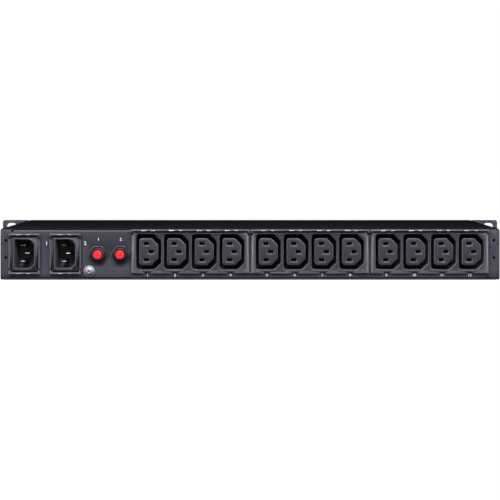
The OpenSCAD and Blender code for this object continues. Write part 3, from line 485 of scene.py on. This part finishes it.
def finish_makers(tones):
    """What makes each slot's finish."""
    return {
        "case_paint": lambda g: powder_coat(g, tones.case_paint),
        # The cover's rear cut edge gets a dark case tone, painted shade.
        "cover_paint": lambda g: powder_coat(g, tones.cover_paint, shade(tones.case_paint, 0.32)),
        "housing_plastic": lambda g: housing_plastic(g, tones.housing, tones.housing_rim[:]),
        # Rounded, marked corners of black parts get a painted highlight.
        "black_plastic": lambda g: moulded(g, tones.black, 0.42, (0.13, 0.13, 0.14)),
        "red_plastic": lambda g: button_plastic(g, tones.red),
        "grey_plastic": lambda g: moulded(g, tones.grey),
        # Brass contacts and nickel pins get painted shade deeper inside the outlets and inlets.
        "brass": lambda g: plated(
            g, tones.brass, 0.3, (8.0, 1.0, 1.0), (PANEL_Y, PANEL_Y + 30 * MM, 0.96)
        ),
        "nickel": lambda g: plated(
            g, tones.nickel, 0.3, (1.0, 0.15, 1.0), (PIN_Y - 1 * MM, PANEL_Y + 16 * MM, 0.88)
        ),
        "zinc_steel": lambda g: plated(g, tones.zinc, 0.55),
        "black_screw": lambda g: moulded(g, (0.025, 0.025, 0.028), 0.36),
        "board_green": lambda g: solder_mask(g, tones.board),
        "heat_sink_aluminium": lambda g: plated(g, (0.7, 0.71, 0.73), 0.4, (0.2, 1.0, 4.0)),
        "winding_tape": lambda g: wound(g, (0.55, 0.38, 0.08)),
        "display_dark": lambda g: moulded(g, (0.05, 0.06, 0.06), 0.3),
        "window_smoke": lambda g: smoked_window(g, (0.014, 0.016, 0.02)),
        "lamp_clear": lambda g: light_guide(g, (0.12, 0.55, 0.16)),
        "lead_brown": lambda g: lead_jacket(g, (0.09, 0.035, 0.015)),
        "lead_green": lambda g: lead_jacket(g, (0.08, 0.32, 0.03), (0.75, 0.65, 0.03)),
        "number_ink": lambda g: ink(g, tones.ink),
    }


def finish(name):
    """The material of a finish, made when it is first asked for."""
    label = name + "_finish"
    if label not in bpy.data.materials:
        material = bpy.data.materials.new(label)
        material.use_nodes = True
        finish_makers(bpy.context.scene.switch_finish)[name](Graph(material.node_tree))
    return bpy.data.materials[label]


# ---- Pieces ------------------------------------------------------------------------------


def piece(name, mesh, slot, body, replaced=(), coat=None):
    """An object from a mesh that is in place, riding on a body."""
    obj = bpy.data.objects.new(name, mesh)
    bpy.context.scene.collection.objects.link(obj)
    mesh.materials.clear()
    mesh.materials.append(finish(coat or slot))
    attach(obj, body)
    if replaced:
        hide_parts(*replaced)
    return obj


def cad_mesh(node):
    """A node's mesh with its doubles merged."""
    mesh = bmesh.new()
    mesh.from_mesh(frame["nodes"][node].data)
    bmesh.ops.remove_doubles(mesh, verts=mesh.verts, dist=MERGE)
    mesh.normal_update()
    return mesh


def notched(mesh, boxes):
    """A mesh with boxes cut out of it, each given by its low and high corner."""
    cutter = bmesh.new()
    for low, high in boxes:
        size = Vector(high) - Vector(low)
        place = Matrix.Translation((Vector(low) + Vector(high)) / 2) @ Matrix.Diagonal((*size, 1.0))
        bmesh.ops.create_cube(cutter, size=1.0, matrix=place)
    pair = []
    for name, part in (("whole", mesh), ("cutter", cutter)):
        data = bpy.data.meshes.new(name)
        part.to_mesh(data)
        part.free()
        obj = bpy.data.objects.new(name, data)
        bpy.context.scene.collection.objects.link(obj)
        pair.append(obj)
    modifier = pair[0].modifiers.new("Cut", "BOOLEAN")
    modifier.operation = "DIFFERENCE"
    modifier.solver = "EXACT"
    modifier.use_self = True
    modifier.object = pair[1]
    depsgraph = bpy.context.evaluated_depsgraph_get()
    cut = bmesh.new()
    cut.from_mesh(pair[0].evaluated_get(depsgraph).data)
    for obj in pair:
        bpy.data.objects.remove(obj)
    bmesh.ops.remove_doubles(cut, verts=cut.verts, dist=MERGE)
    cut.normal_update()
    return cut


def sharp_corners(mesh, test):
    """Outer corners of a mesh that are sharp enough to round and pass a test."""
    return [
        edge
        for edge in mesh.edges
        if len(edge.link_faces) == 2
        and edge.calc_face_angle_signed(0.0) > ROUNDED_ANGLE
        and test(edge)
    ]


def round_corners(mesh, edges, radius, segments, share):
    """Rounds corners and gives their new faces a painted highlight, which fades out where they face
    down. share is how much of the painted highlight they get."""
    rim = mesh.faces.layers.float.get("rim") or mesh.faces.layers.float.new("rim")
    if edges and radius > 0:
        made = bmesh.ops.bevel(
            mesh, geom=edges, offset=radius, offset_type="OFFSET", segments=segments,
            profile=0.5, affect="EDGES", clamp_overlap=False,
        )
        for face in made["faces"]:
            face.normal_update()
            face[rim] = share * min(1.0, max(0.0, 0.75 + 1.5 * face.normal.z))


def dressed(
    node, test=None, radius=0.0, segments=2, sharp=SHARP_ANGLE, mark=None, share=1.0, cuts=()
):
    """A copy of a CAD node with rounded corners and smooth shading, which replaces it. mark gives
    a face's share of painted highlight, or of painted shade where it is below 0, share is that of
    the rounded corners, and cuts are boxes that are cut out first."""
    mesh = cad_mesh(node)
    if cuts:
        mesh = notched(mesh, cuts)
    if test:
        round_corners(mesh, sharp_corners(mesh, test), radius, segments, share)
    if mark:
        rim = mesh.faces.layers.float.get("rim") or mesh.faces.layers.float.new("rim")
        for face in mesh.faces:
            face[rim] = mark(face) or face[rim]
    bmesh.ops.triangulate(mesh, faces=[f for f in mesh.faces if len(f.verts) > 4])
    data = bpy.data.meshes.new(node + "_dressed")
    mesh.to_mesh(data)
    mesh.free()
    data.polygons.foreach_set("use_smooth", [True] * len(data.polygons))
    data.set_sharp_from_angle(angle=sharp)
    return piece(node + "_dressed", data, SLOT[node], BODY[node], [node])


def rail_face(node, nib, cavity=0.0):
    """A mark of painted light for faces in front of the flanges: a painted highlight of nib on
    nibs, most on rails and their upper slopes, less on bars, none where a face looks down, and some
    on a deep cavity's back. Painted shade below 0 darkens the grooves beside the rails and the
    cavity's walls."""
    low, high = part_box(node)

    def mark(face):
        front = min(vert.co.y for vert in face.verts)
        back = max(vert.co.y for vert in face.verts)
        middle = face.calc_center_median()
        inset = min(middle.z - low.z, high.z - middle.z)
        in_groove = GROOVE_START < inset < GROOVE_END and middle.y > FLANGE_Y + 0.2 * MM
        if in_groove and FLANGE_Y + 0.5 * MM < back < PANEL_Y:
            return GROOVE_SHADE
        if cavity and front < FLANGE_Y + 1 * MM and back > CAVITY_Y:
            return -cavity
        if cavity and front > CAVITY_Y and face.normal.y < -0.9:
            return CAVITY_BACK_HIGHLIGHT
        if back > FLANGE_Y + ON_PLANE or front > FOOT_Y + ON_PLANE or face.normal.z < -0.3:
            return 0.0
        if front < NIB_Y + ON_PLANE:
            return nib
        return RAIL_HIGHLIGHT if front < RAIL_Y + 0.4 * MM else BAR_HIGHLIGHT

    return mark


def corner_cuts(node, width, sides):
    """Boxes between a flange's rails and its side bars, at its top (1) or its bottom (-1)."""
    low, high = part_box(node)
    boxes = []
    for side in sides:
        edge = high.z if side > 0 else low.z
        heights = sorted((edge - side * 3.4 * MM, edge - side * 5.1 * MM))
        for first, second in ((low.x - 1 * MM, low.x + width), (high.x - width, high.x + 1 * MM)):
            near = (first, FLANGE_Y - 3 * MM, heights[0])
            far = (second, FLANGE_Y + 1.1 * MM, heights[1])
            boxes.append((near, far))
    return boxes


def at_plane(plane, axis=1):
    """A test for edges that lie on a plane across an axis."""
    return lambda edge: all(abs(vert.co[axis] - plane) < ON_PLANE for vert in edge.verts)


def islands(node):
    """The box of each separate solid of a node."""
    mesh = cad_mesh(node)
    left = set(mesh.verts)
    found = []
    while left:
        group = {left.pop()}
        front = list(group)
        while front:
            vert = front.pop()
            near = {edge.other_vert(vert) for edge in vert.link_edges} & left
            left -= near
            group |= near
            front += near
        low = Vector([min(v.co[i] for v in group) for i in range(3)])
        high = Vector([max(v.co[i] for v in group) for i in range(3)])
        found.append((low, high))
    mesh.free()
    return sorted(found, key=lambda box: tuple(box[0]))


# ---- Geometry trees ----------------------------------------------------------------------


def grown(name, tree, points, slot, body, replaced=(), directions=None, coat=None, **inputs):
    """The plain mesh that a geometry tree makes on points, as a piece."""
    base = bpy.data.meshes.new(name)
    base.from_pydata([tuple(p) for p in points], [], [])
    if directions:
        base.attributes.new("direction", "FLOAT_VECTOR", "POINT")
        flat = [part for direction in directions for part in direction]
        base.attributes["direction"].data.foreach_set("vector", flat)
    source = bpy.data.objects.new(name + "_points", base)
    bpy.context.scene.collection.objects.link(source)
    modifier = source.modifiers.new("Tree", "NODES")
    modifier.node_group = tree
    sockets = {
        item.name: item.identifier
        for item in tree.interface.items_tree
        if item.in_out == "INPUT"
    }
    for label, value in inputs.items():
        modifier[sockets[label.replace("_", " ")]] = value
    depsgraph = bpy.context.evaluated_depsgraph_get()
    data = bpy.data.meshes.new_from_object(source.evaluated_get(depsgraph), depsgraph=depsgraph)
    bpy.data.objects.remove(source)
    data.polygons.foreach_set("use_smooth", [True] * len(data.polygons))
    data.set_sharp_from_angle(angle=SHARP_ANGLE)
    return piece(name, data, slot, body, replaced, coat)


def new_tree(name, **sizes):
    """A geometry tree with one geometry input, the named sizes, a material and one output."""
    tree = bpy.data.node_groups.new(name, "GeometryNodeTree")
    tree.interface.new_socket("Geometry", in_out="INPUT", socket_type="NodeSocketGeometry")
    for label, value in sizes.items():
        kind = "NodeSocketInt" if isinstance(value, int) else "NodeSocketFloat"
        label = label.replace("_", " ")
        socket = tree.interface.new_socket(label, in_out="INPUT", socket_type=kind)
        socket.default_value = value
    tree.interface.new_socket("Material", in_out="INPUT", socket_type="NodeSocketMaterial")
    tree.interface.new_socket("Geometry", in_out="OUTPUT", socket_type="NodeSocketGeometry")
    graph = Graph(tree)
    source = tree.nodes.new("NodeGroupInput")
    given = {socket.name: Wire(graph, socket) for socket in source.outputs if socket.name}
    return tree, graph, given


def close_tree(graph, given, instances):
    """Realizes the instances, gives them the material and ends the tree."""
    solid = graph.node("GeometryNodeRealizeInstances", {}, [instances])
    painted = graph.node("GeometryNodeSetMaterial", {}, {
        "Geometry": solid, "Material": given["Material"],
    })
    graph.node("NodeGroupOutput", {}, [painted])


def joined(graph, *parts):
    """One geometry from several."""
    node = graph.tree.nodes.new("GeometryNodeJoinGeometry")
    for part in parts:
        graph.tree.links.new(part.socket, node.inputs[0])
    return Wire(graph, node.outputs[0])


def vector(graph, x=0.0, y=0.0, z=0.0):
    return graph.node("ShaderNodeCombineXYZ", {}, [x, y, z])


def along_direction(graph):
    """Turns +Z to each point's direction attribute."""
    direction = graph.node(
        "GeometryNodeInputNamedAttribute", {"data_type": "FLOAT_VECTOR"}, ["direction"]
    )
    return graph.node("FunctionNodeAlignRotationToVector", {"axis": "Z"}, {"Vector": direction})


def screw_tree():
    """Flat-head screws with a cross recess, set on points along the direction attribute."""
    tree, graph, given = new_tree(
        "Flat-head screws", Head_radius=2.7 * MM, Shank_radius=1.5 * MM, Head_height=1 * MM,
        Length=6 * MM, Recess_width=0.7 * MM, Recess_depth=0.7 * MM,
    )
    head_h, deep = given["Head height"], given["Recess depth"]
    head = graph.node("GeometryNodeMeshCone", {}, {
        "Vertices": 40, "Radius Top": given["Shank radius"], "Radius Bottom": given["Head radius"],
        "Depth": head_h,
    })
    shank = graph.node("GeometryNodeMeshCylinder", {}, {
        "Vertices": 24, "Radius": given["Shank radius"], "Depth": given["Length"] - head_h,
    })
    shank = graph.node("GeometryNodeTransform", {}, {
        "Geometry": shank, "Translation": vector(graph, z=(given["Length"] + head_h) / 2),
    })
    wide = given["Head radius"] * 1.15
    arms = [
        graph.node("GeometryNodeMeshCube", {}, {"Size": vector(graph, *size, deep * 2)})
        for size in ((wide, given["Recess width"]), (given["Recess width"], wide))
    ]
    cut = graph.node("GeometryNodeMeshBoolean", {"operation": "UNION"}, {1: joined(graph, *arms)})
    head = graph.node("GeometryNodeMeshBoolean", {"operation": "DIFFERENCE"}, {0: head, 1: cut})
    turn = along_direction(graph)
    placed = graph.node("GeometryNodeInstanceOnPoints", {}, {
        "Points": given["Geometry"], "Instance": joined(graph, head, shank), "Rotation": turn,
    })
    close_tree(graph, given, placed)
    return tree


def thread_tree():
    """A thread that winds along +Z from each point, turned to the direction attribute."""
    tree, graph, given = new_tree(
        "Threads", Radius=NECK_RADIUS, Pitch=0.5 * MM, Turns=2.0, Tooth=0.15 * MM
    )
    spiral = graph.node("GeometryNodeCurveSpiral", {}, {
        "Resolution": 48, "Rotations": given["Turns"], "Start Radius": given["Radius"],
        "End Radius": given["Radius"], "Height": given["Turns"] * given["Pitch"], "Reverse": False,
    })
    tooth = graph.node("GeometryNodeCurvePrimitiveCircle", {}, {
        "Resolution": 4, "Radius": given["Tooth"],
    })
    wound_tooth = graph.node("GeometryNodeCurveToMesh", {}, {
        "Curve": spiral, "Profile Curve": tooth, "Fill Caps": True,
    })
    turn = along_direction(graph)
    placed = graph.node("GeometryNodeInstanceOnPoints", {}, {
        "Points": given["Geometry"], "Instance": wound_tooth, "Rotation": turn,
    })
    close_tree(graph, given, placed)
    return tree


def contact_tree():
    """Rows of bent spring wires, as in a modular jack, one row centred on each point."""
    tree, graph, given = new_tree(
        "Jack contacts", Count=8, Pitch=1.02 * MM, Wire=0.22 * MM, Reach=8 * MM
    )
    reach = given["Reach"]
    bend = graph.node("GeometryNodeCurvePrimitiveBezierSegment", {"mode": "POSITION"}, {
        "Resolution": 10, "Start": vector(graph), "Start Handle": vector(graph, y=reach * -0.35),
        "End Handle": vector(graph, y=reach * -0.5, z=reach * -0.2),
        "End": vector(graph, y=reach * -1, z=reach * -0.36),
    })
    section = graph.node("GeometryNodeCurvePrimitiveCircle", {}, {
        "Resolution": 8, "Radius": given["Wire"],
    })
    wire = graph.node("GeometryNodeCurveToMesh", {}, {
        "Curve": bend, "Profile Curve": section, "Fill Caps": True,
    })
    row = graph.node("GeometryNodeMeshLine", {"mode": "OFFSET"}, {
        "Count": given["Count"],
        "Start Location": vector(graph, x=(1 - given["Count"]) / 2 * given["Pitch"]),
        "Offset": vector(graph, x=given["Pitch"]),
    })
    row = graph.node("GeometryNodeInstanceOnPoints", {}, {"Points": row, "Instance": wire})
    placed = graph.node("GeometryNodeInstanceOnPoints", {}, {
        "Points": given["Geometry"], "Instance": row,
    })
    close_tree(graph, given, placed)
    return tree


# ---- Operators ---------------------------------------------------------------------------


class DressCase(bpy.types.Operator):
    """Rounds the painted sheets' edges and paints the case, the panels and the rack ears"""

    bl_idname = "switch.case"
    bl_label = "Case and ears"

    def execute(self, context):
        radius = context.scene.switch_edges.sheet

        def long_edge(edge):
            return edge.calc_length() > 0.8 * MM

        # Painted highlight on the outlet panel's top bend, where it faces up.
        def bend(face):
            place = face.calc_center_median()
            turned = 0.2 < face.normal.z < 0.98 and face.normal.y < -0.15
            return 0.75 if turned and place.z > 0 and place.y < PANEL_Y + 2 * MM else 0.0

        # Painted highlight on the base pan's lip and tongues in front of the panel.
        def tongue(face):
            return 0.6 if max(vert.co.y for vert in face.verts) < PANEL_Y + 0.1 * MM else 0.0

        for node in ("front_panel", "top_cover", "left_rack_ear", "right_rack_ear"):
            dressed(node, long_edge, radius, 1, share=0.0)
        dressed("outlet_panel", long_edge, radius, 1, mark=bend, share=0.0)
        dressed("base_pan", long_edge, radius, 1, mark=tongue, share=0.0)
        return {"FINISHED"}


class DressOutlets(bpy.types.Operator):
    """Rounds the rims of every recess, tongue and contact slot of the outlet blocks, and marks
    them, the rails, bars and nibs with painted highlights and the grooves with painted shade
    """

    bl_idname = "switch.outlets"
    bl_label = "Outlet blocks"

    def execute(self, context):
        radius = context.scene.switch_edges.rim
        for node in BLOCKS:
            low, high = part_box(node)
            on_face = at_plane(FLANGE_Y)

            def rim_edge(edge):
                height = (edge.verts[0].co.z + edge.verts[1].co.z) / 2
                return on_face(edge) and low.z + 2.2 * MM < height < high.z - 3.2 * MM

            dressed(
                node, rim_edge, radius, mark=rail_face(node, 1.5),
                cuts=corner_cuts(node, 1.7 * MM, [1]),
            )
        return {"FINISHED"}


class DressInlets(bpy.types.Operator):
    """Rounds the collars of the two inlets and finishes their pins"""

    bl_idname = "switch.inlets"
    bl_label = "Inlets"

    def execute(self, context):
        def tip_edge(edge):
            return max(vert.co.y for vert in edge.verts) < PIN_Y + 1.2 * MM

        for side in SIDES:
            node = f"inlet_{side}_housing"
            low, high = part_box(node)
            groove = (
                (low.x + 1.2 * MM, FLANGE_Y - 0.2 * MM, high.z - 3.5 * MM),
                (high.x - 1.2 * MM, FLANGE_Y + 1.1 * MM, high.z - 1.75 * MM),
            )
            # Collars, rails, nibs and the cavity's back get a painted highlight; the groove and the
            # cavity's walls get painted shade.
            dressed(
                node, at_plane(COLLAR_Y), context.scene.switch_edges.collar,
                mark=rail_face(node, 1.3, 0.5), share=0.4,
                cuts=[groove, *corner_cuts(node, 2.1 * MM, [1, -1])],
            )
            dressed(f"inlet_{side}_pins", tip_edge, 0.3 * MM)
        return {"FINISHED"}


class DressBreakers(bpy.types.Operator):
    """Rounds the breakers' nuts, threads their necks and slims their buttons a little"""

    bl_idname = "switch.breakers"
    bl_label = "Breakers"

    def execute(self, context):
        edges = context.scene.switch_edges
        necks = []
        for side in SIDES:
            nut_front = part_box(f"breaker_{side}_nut")[0].y
            neck_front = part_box(f"breaker_{side}_body")[0].y
            axis = centre(f"breaker_{side}_nut")

            def outer_edge(edge):
                middle = (edge.verts[0].co + edge.verts[1].co) / 2
                away = math.hypot(middle.x - axis.x, middle.z - axis.z)
                return at_plane(nut_front)(edge) and away > 6.3 * MM

            dressed(f"breaker_{side}_nut", outer_edge, edges.nut)
            dressed(f"breaker_{side}_body", at_plane(neck_front), 0.25 * MM)
            button = dressed(f"breaker_{side}_button")
            slimmer = 1 - BUTTON_SLIMMING / button.dimensions.x
            button.data.transform(
                Matrix.Translation(axis)
                @ Matrix.Diagonal((slimmer, 1, slimmer, 1))
                @ Matrix.Translation(-axis)
            )
            necks.append((axis.x, nut_front - 0.1 * MM, axis.z))
        neck_length = nut_front - neck_front
        grown(
            "neck_threads", thread_tree(), necks, "black_plastic", "case",
            directions=[(0, -1, 0)] * 2, Radius=NECK_RADIUS, Pitch=edges.thread_pitch,
            Turns=(neck_length - 0.4 * MM) / edges.thread_pitch,
            Tooth=0.14 * MM, Material=finish("black_plastic"),
        )
        return {"FINISHED"}


class DressEarthScrew(bpy.types.Operator):
    """Finishes the earth screw, its toothed washer, its nut and the thread behind the panel"""

    bl_idname = "switch.earth_screw"
    bl_label = "Earth screw"

    def execute(self, context):
        screw_low, screw_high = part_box("earth_screw")
        middle = centre("earth_screw")
        dressed("earth_screw", at_plane(screw_low.y), 0.12 * MM, sharp=TOOTHED_ANGLE)
        washer_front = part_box("earth_washer")[0].y
        dressed("earth_washer", at_plane(washer_front), 0.12 * MM, sharp=TOOTHED_ANGLE)
        dressed("earth_nut", lambda edge: edge.calc_length() > 1 * MM, 0.15 * MM)
        nut_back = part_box("earth_nut")[1].y
        start = (middle.x, nut_back + 0.2 * MM, middle.z)
        grown(
            "earth_screw_thread", thread_tree(), [start], "zinc_steel", "case",
            directions=[(0, 1, 0)], Radius=EARTH_THREAD_RADIUS, Pitch=EARTH_THREAD_PITCH,
            Turns=(screw_high.y - nut_back) / EARTH_THREAD_PITCH - 0.5, Tooth=0.16 * MM,
            Material=finish("zinc_steel"),
        )
        return {"FINISHED"}


class DressScrews(bpy.types.Operator):
    """Replaces the case's flat-head screws with ones that have a cross recess"""

    bl_idname = "switch.screws"
    bl_label = "Case screws"

    def execute(self, context):
        tree = screw_tree()
        for node, axis, head_radius, shank_radius in (
            ("ear_screws", 0, 3.8, 2.0),
            ("cover_screws", 0, 2.7, 1.5),
            ("panel_screws", 2, 2.7, 1.5),
        ):
            points, directions = [], []
            for low, high in islands(node):
                middle = (low + high) / 2
                outward = -1 if axis == 2 or middle[axis] < 0 else 1
                point = middle.copy()
                point[axis] = high[axis] if outward > 0 else low[axis]
                direction = [0.0, 0.0, 0.0]
                direction[axis] = -outward
                points.append(point)
                directions.append(direction)
            reach = high[axis] - low[axis]
            head = (2.0 if node == "ear_screws" else 1.0) * MM
            middles = [p + Vector(d) * head / 2 for p, d in zip(points, directions)]
            grown(
                node + "_recessed", tree, middles, "black_screw", "case", [node], directions,
                Head_radius=head_radius * MM, Shank_radius=shank_radius * MM,
                Head_height=head, Length=reach, Recess_width=head_radius * 0.28 * MM,
                Recess_depth=head * 0.9, Material=finish("black_screw"),
            )
        return {"FINISHED"}


class DressFront(bpy.types.Operator):
    """Finishes the display, lamps and buttons, and adds the jacks' contacts"""

    bl_idname = "switch.front"
    bl_label = "Front controls"

    def execute(self, context):
        for node in (
            "select_button", "scroll_button", "mute_button", "source_lamps", "display_window",
        ):
            dressed(node, at_plane(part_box(node)[1].y), 0.25 * MM)
        for node in ("network_jack", "serial_jack"):
            dressed(node, at_plane(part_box(node)[1].y), 0.2 * MM)
        rows = [
            Vector((centre(node).x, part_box(node)[1].y - 2 * MM, centre(node).z + 3.6 * MM))
            for node in ("network_jack", "serial_jack")
        ]
        grown("jack_contacts", contact_tree(), rows, "brass", "case", Material=finish("brass"))
        return {"FINISHED"}


class DressInside(bpy.types.Operator):
    """Smooths and finishes everything that the case holds"""

    bl_idname = "switch.inside"
    bl_label = "Inner parts"

    def execute(self, context):
        for node in (
            "power_leads", "earth_leads", "filter_capacitors", "current_sensors", "board_pillars",
            "control_board_pillars", "card_pillars", "clinch_nuts", "terminal_strip",
        ):
            dressed(node)
        dressed("board_screws", at_plane(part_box("board_screws")[1].z, 2), 0.3 * MM)
        return {"FINISHED"}


class PrintNumbers(bpy.types.Operator):
    """Prints plain numbers at the outlets, the inlets and the breakers"""

    bl_idname = "switch.numbers"
    bl_label = "Numbers"

    def number(self, value, height, middle):
        """One printed number, centred on a place of the panel, as a mesh."""
        curve = bpy.data.curves.new("number", "FONT")
        curve.body = str(value)
        curve.align_x = "CENTER"
        curve.align_y = "CENTER"
        curve.size = height / DIGIT_SHARE
        curve.offset = height * 0.035
        curve.extrude = bpy.context.scene.switch_numbers.ink_depth
        source = bpy.data.objects.new("number", curve)
        bpy.context.scene.collection.objects.link(source)
        depsgraph = bpy.context.evaluated_depsgraph_get()
        mesh = bpy.data.meshes.new_from_object(source.evaluated_get(depsgraph), depsgraph=depsgraph)
        bpy.data.objects.remove(source)
        mesh.transform(Matrix.Translation(middle) @ Matrix.Rotation(math.radians(90), 4, "X"))
        return mesh

    def printed(self, name, meshes):
        """Joins the numbers to one piece."""
        whole = bmesh.new()
        for mesh in meshes:
            whole.from_mesh(mesh)
        data = bpy.data.meshes.new(name)
        whole.to_mesh(data)
        whole.free()
        piece(name, data, "case_paint", "case", coat="number_ink")

    def execute(self, context):
        sizes = context.scene.switch_numbers

        def place(x, above_bottom):
            return Vector((x, PANEL_Y, CASE_BOTTOM + above_bottom))

        numbers = []
        for block, node in enumerate(BLOCKS):
            for gang in range(GANGS):
                x = centre(node).x + (gang - (GANGS - 1) / 2) * OUTLET_PITCH + OUTLET_NUMBER_SHIFT
                value = block * GANGS + gang + 1
                numbers.append(self.number(value, sizes.digit, place(x, OUTLET_NUMBER_Z)))
        self.printed("outlet_numbers", numbers)
        sources = []
        for value, side in enumerate(SIDES, 1):
            beside = centre(f"inlet_{side}_housing").x + INLET_NUMBER_SHIFT[side]
            sources.append(self.number(value, sizes.inlet_digit, place(beside, INLET_NUMBER_Z)))
            above = centre(f"breaker_{side}_nut").x
            sources.append(self.number(value, sizes.breaker_digit, place(above, BREAKER_NUMBER_Z)))
        self.printed("source_numbers", sources)
        return {"FINISHED"}


class FinishRest(bpy.types.Operator):
    """Gives every frame node that still shows the finish of its slot"""

    bl_idname = "switch.rest"
    bl_label = "Other parts"

    def execute(self, context):
        for name, obj in frame["nodes"].items():
            for material_slot in obj.material_slots:
                material_slot.material = finish(SLOT[name])
        return {"FINISHED"}


class SetStage(bpy.types.Operator):
    """Adds the floor, the light and the camera"""

    bl_idname = "switch.stage"
    bl_label = "Stage"

    def seen(self, graph):
        """1 for rays from the camera and through glass."""
        rays = graph.tree.nodes.new("ShaderNodeLightPath")
        camera, clear = (
            Wire(graph, rays.outputs[name]) for name in ("Is Camera Ray", "Is Transmission Ray")
        )
        return (camera + clear).clamp()

    def floor(self):
        mesh = bpy.data.meshes.new("floor")
        half = 12.0
        z = CASE_BOTTOM - 0.1 * MM
        corners = [(-half, -half, z), (half, -half, z), (half, half, z), (-half, half, z)]
        mesh.from_pydata(corners, [], [(0, 1, 2, 3)])
        material = bpy.data.materials.new("floor_white")
        material.use_nodes = True
        graph = Graph(material.node_tree)
        matt = graph.node("ShaderNodeBsdfDiffuse", {}, {"Color": (0.06, 0.06, 0.06, 1)})
        glow = graph.node("ShaderNodeEmission", {}, {"Color": (1, 1, 1, 1), "Strength": 1.06})
        shader = graph.node("ShaderNodeMixShader", {}, [self.seen(graph) * 0.95, matt, glow])
        graph.node("ShaderNodeOutputMaterial", {}, [shader])
        mesh.materials.append(material)
        obj = bpy.data.objects.new("floor", mesh)
        bpy.context.scene.collection.objects.link(obj)
        obj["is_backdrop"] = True

    def world(self, strength):
        world = bpy.data.worlds.new("studio")
        bpy.context.scene.world = world
        world.use_nodes = True
        graph = Graph(world.node_tree)
        white = (1, 1, 1, 1)
        shown = graph.node("ShaderNodeBackground", {}, {"Color": white, "Strength": 1.0})
        ambient = graph.node("ShaderNodeBackground", {}, {"Color": white, "Strength": strength})
        shader = graph.node("ShaderNodeMixShader", {}, [self.seen(graph), ambient, shown])
        graph.node("ShaderNodeOutputWorld", {}, [shader])

    def lamp(self, name, place, target, width, height, power):
        light = bpy.data.lights.new(name, "AREA")
        light.shape = "RECTANGLE"
        light.size = width
        light.size_y = height
        light.energy = power
        obj = bpy.data.objects.new(name, light)
        obj.location = place
        obj.rotation_euler = (Vector(target) - Vector(place)).to_track_quat("-Z", "Y").to_euler()
        bpy.context.scene.collection.objects.link(obj)

    def execute(self, context):
        stage = context.scene.switch_stage
        self.floor()
        self.world(stage.sky)
        panel = (0, PANEL_Y, 0)
        self.lamp("key", (0, PANEL_Y - 0.5, 0.7), panel, 1.5, 0.3, stage.key)
        self.lamp("strip", (0, PANEL_Y - 0.16, 0.205), panel, 0.9, 0.04, stage.strip)
        for side in (-1, 1):
            self.lamp("side", (side * 1.1, PANEL_Y - 0.9, 0.35), panel, 0.35, 1.0, stage.side)
        camera = bpy.data.cameras.new("camera")
        camera.lens = stage.lens
        camera.sensor_width = 36
        camera.shift_y = stage.rise
        camera.clip_start = 0.01
        obj = bpy.data.objects.new("camera", camera)
        obj.location = (0, PANEL_Y - stage.camera_distance, stage.camera_height)
        obj.rotation_euler = (math.radians(90), 0, 0)
        context.scene.collection.objects.link(obj)
        context.scene.camera = obj
        context.scene.view_settings.view_transform = "Standard"
        return {"FINISHED"}


class SwitchPanel(bpy.types.Panel):
    """Lists the switch's settings and operators"""

    bl_idname = "VIEW3D_PT_switch"
    bl_label = "Transfer switch"
    bl_space_type = "VIEW_3D"
    bl_region_type = "UI"
    bl_category = "Switch"

    def draw(self, context):
        for name, group in SETTINGS.items():
            box = self.layout.box()
            for prop in group.__annotations__:
                box.prop(getattr(context.scene, name), prop)
        for operator in OPERATORS:
            self.layout.operator(operator.bl_idname)


OPERATORS = (
    SetStage, DressCase, DressOutlets, DressInlets, DressBreakers, DressEarthScrew, DressScrews,
    DressFront, DressInside, PrintNumbers, FinishRest,
)
CLASSES = (*SETTINGS.values(), *OPERATORS, SwitchPanel)


def register():
    for cls in CLASSES:
        bpy.utils.register_class(cls)
    for name, group in SETTINGS.items():
        setattr(bpy.types.Scene, name, bpy.props.PointerProperty(type=group))


def unregister():
    for name in SETTINGS:
        delattr(bpy.types.Scene, name)
    for cls in reversed(CLASSES):
        bpy.utils.unregister_class(cls)


def main():
    """Makes everything in order."""
    register()
    for operator in OPERATORS:
        family, name = operator.bl_idname.split(".")
        getattr(getattr(bpy.ops, family), name)()
    boxes = {
        label: [list(corner) for corner in box]
        for label, box in (("cad", CAD_BOX), ("visual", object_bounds()))
    }


if __name__ == "__main__":
    main()
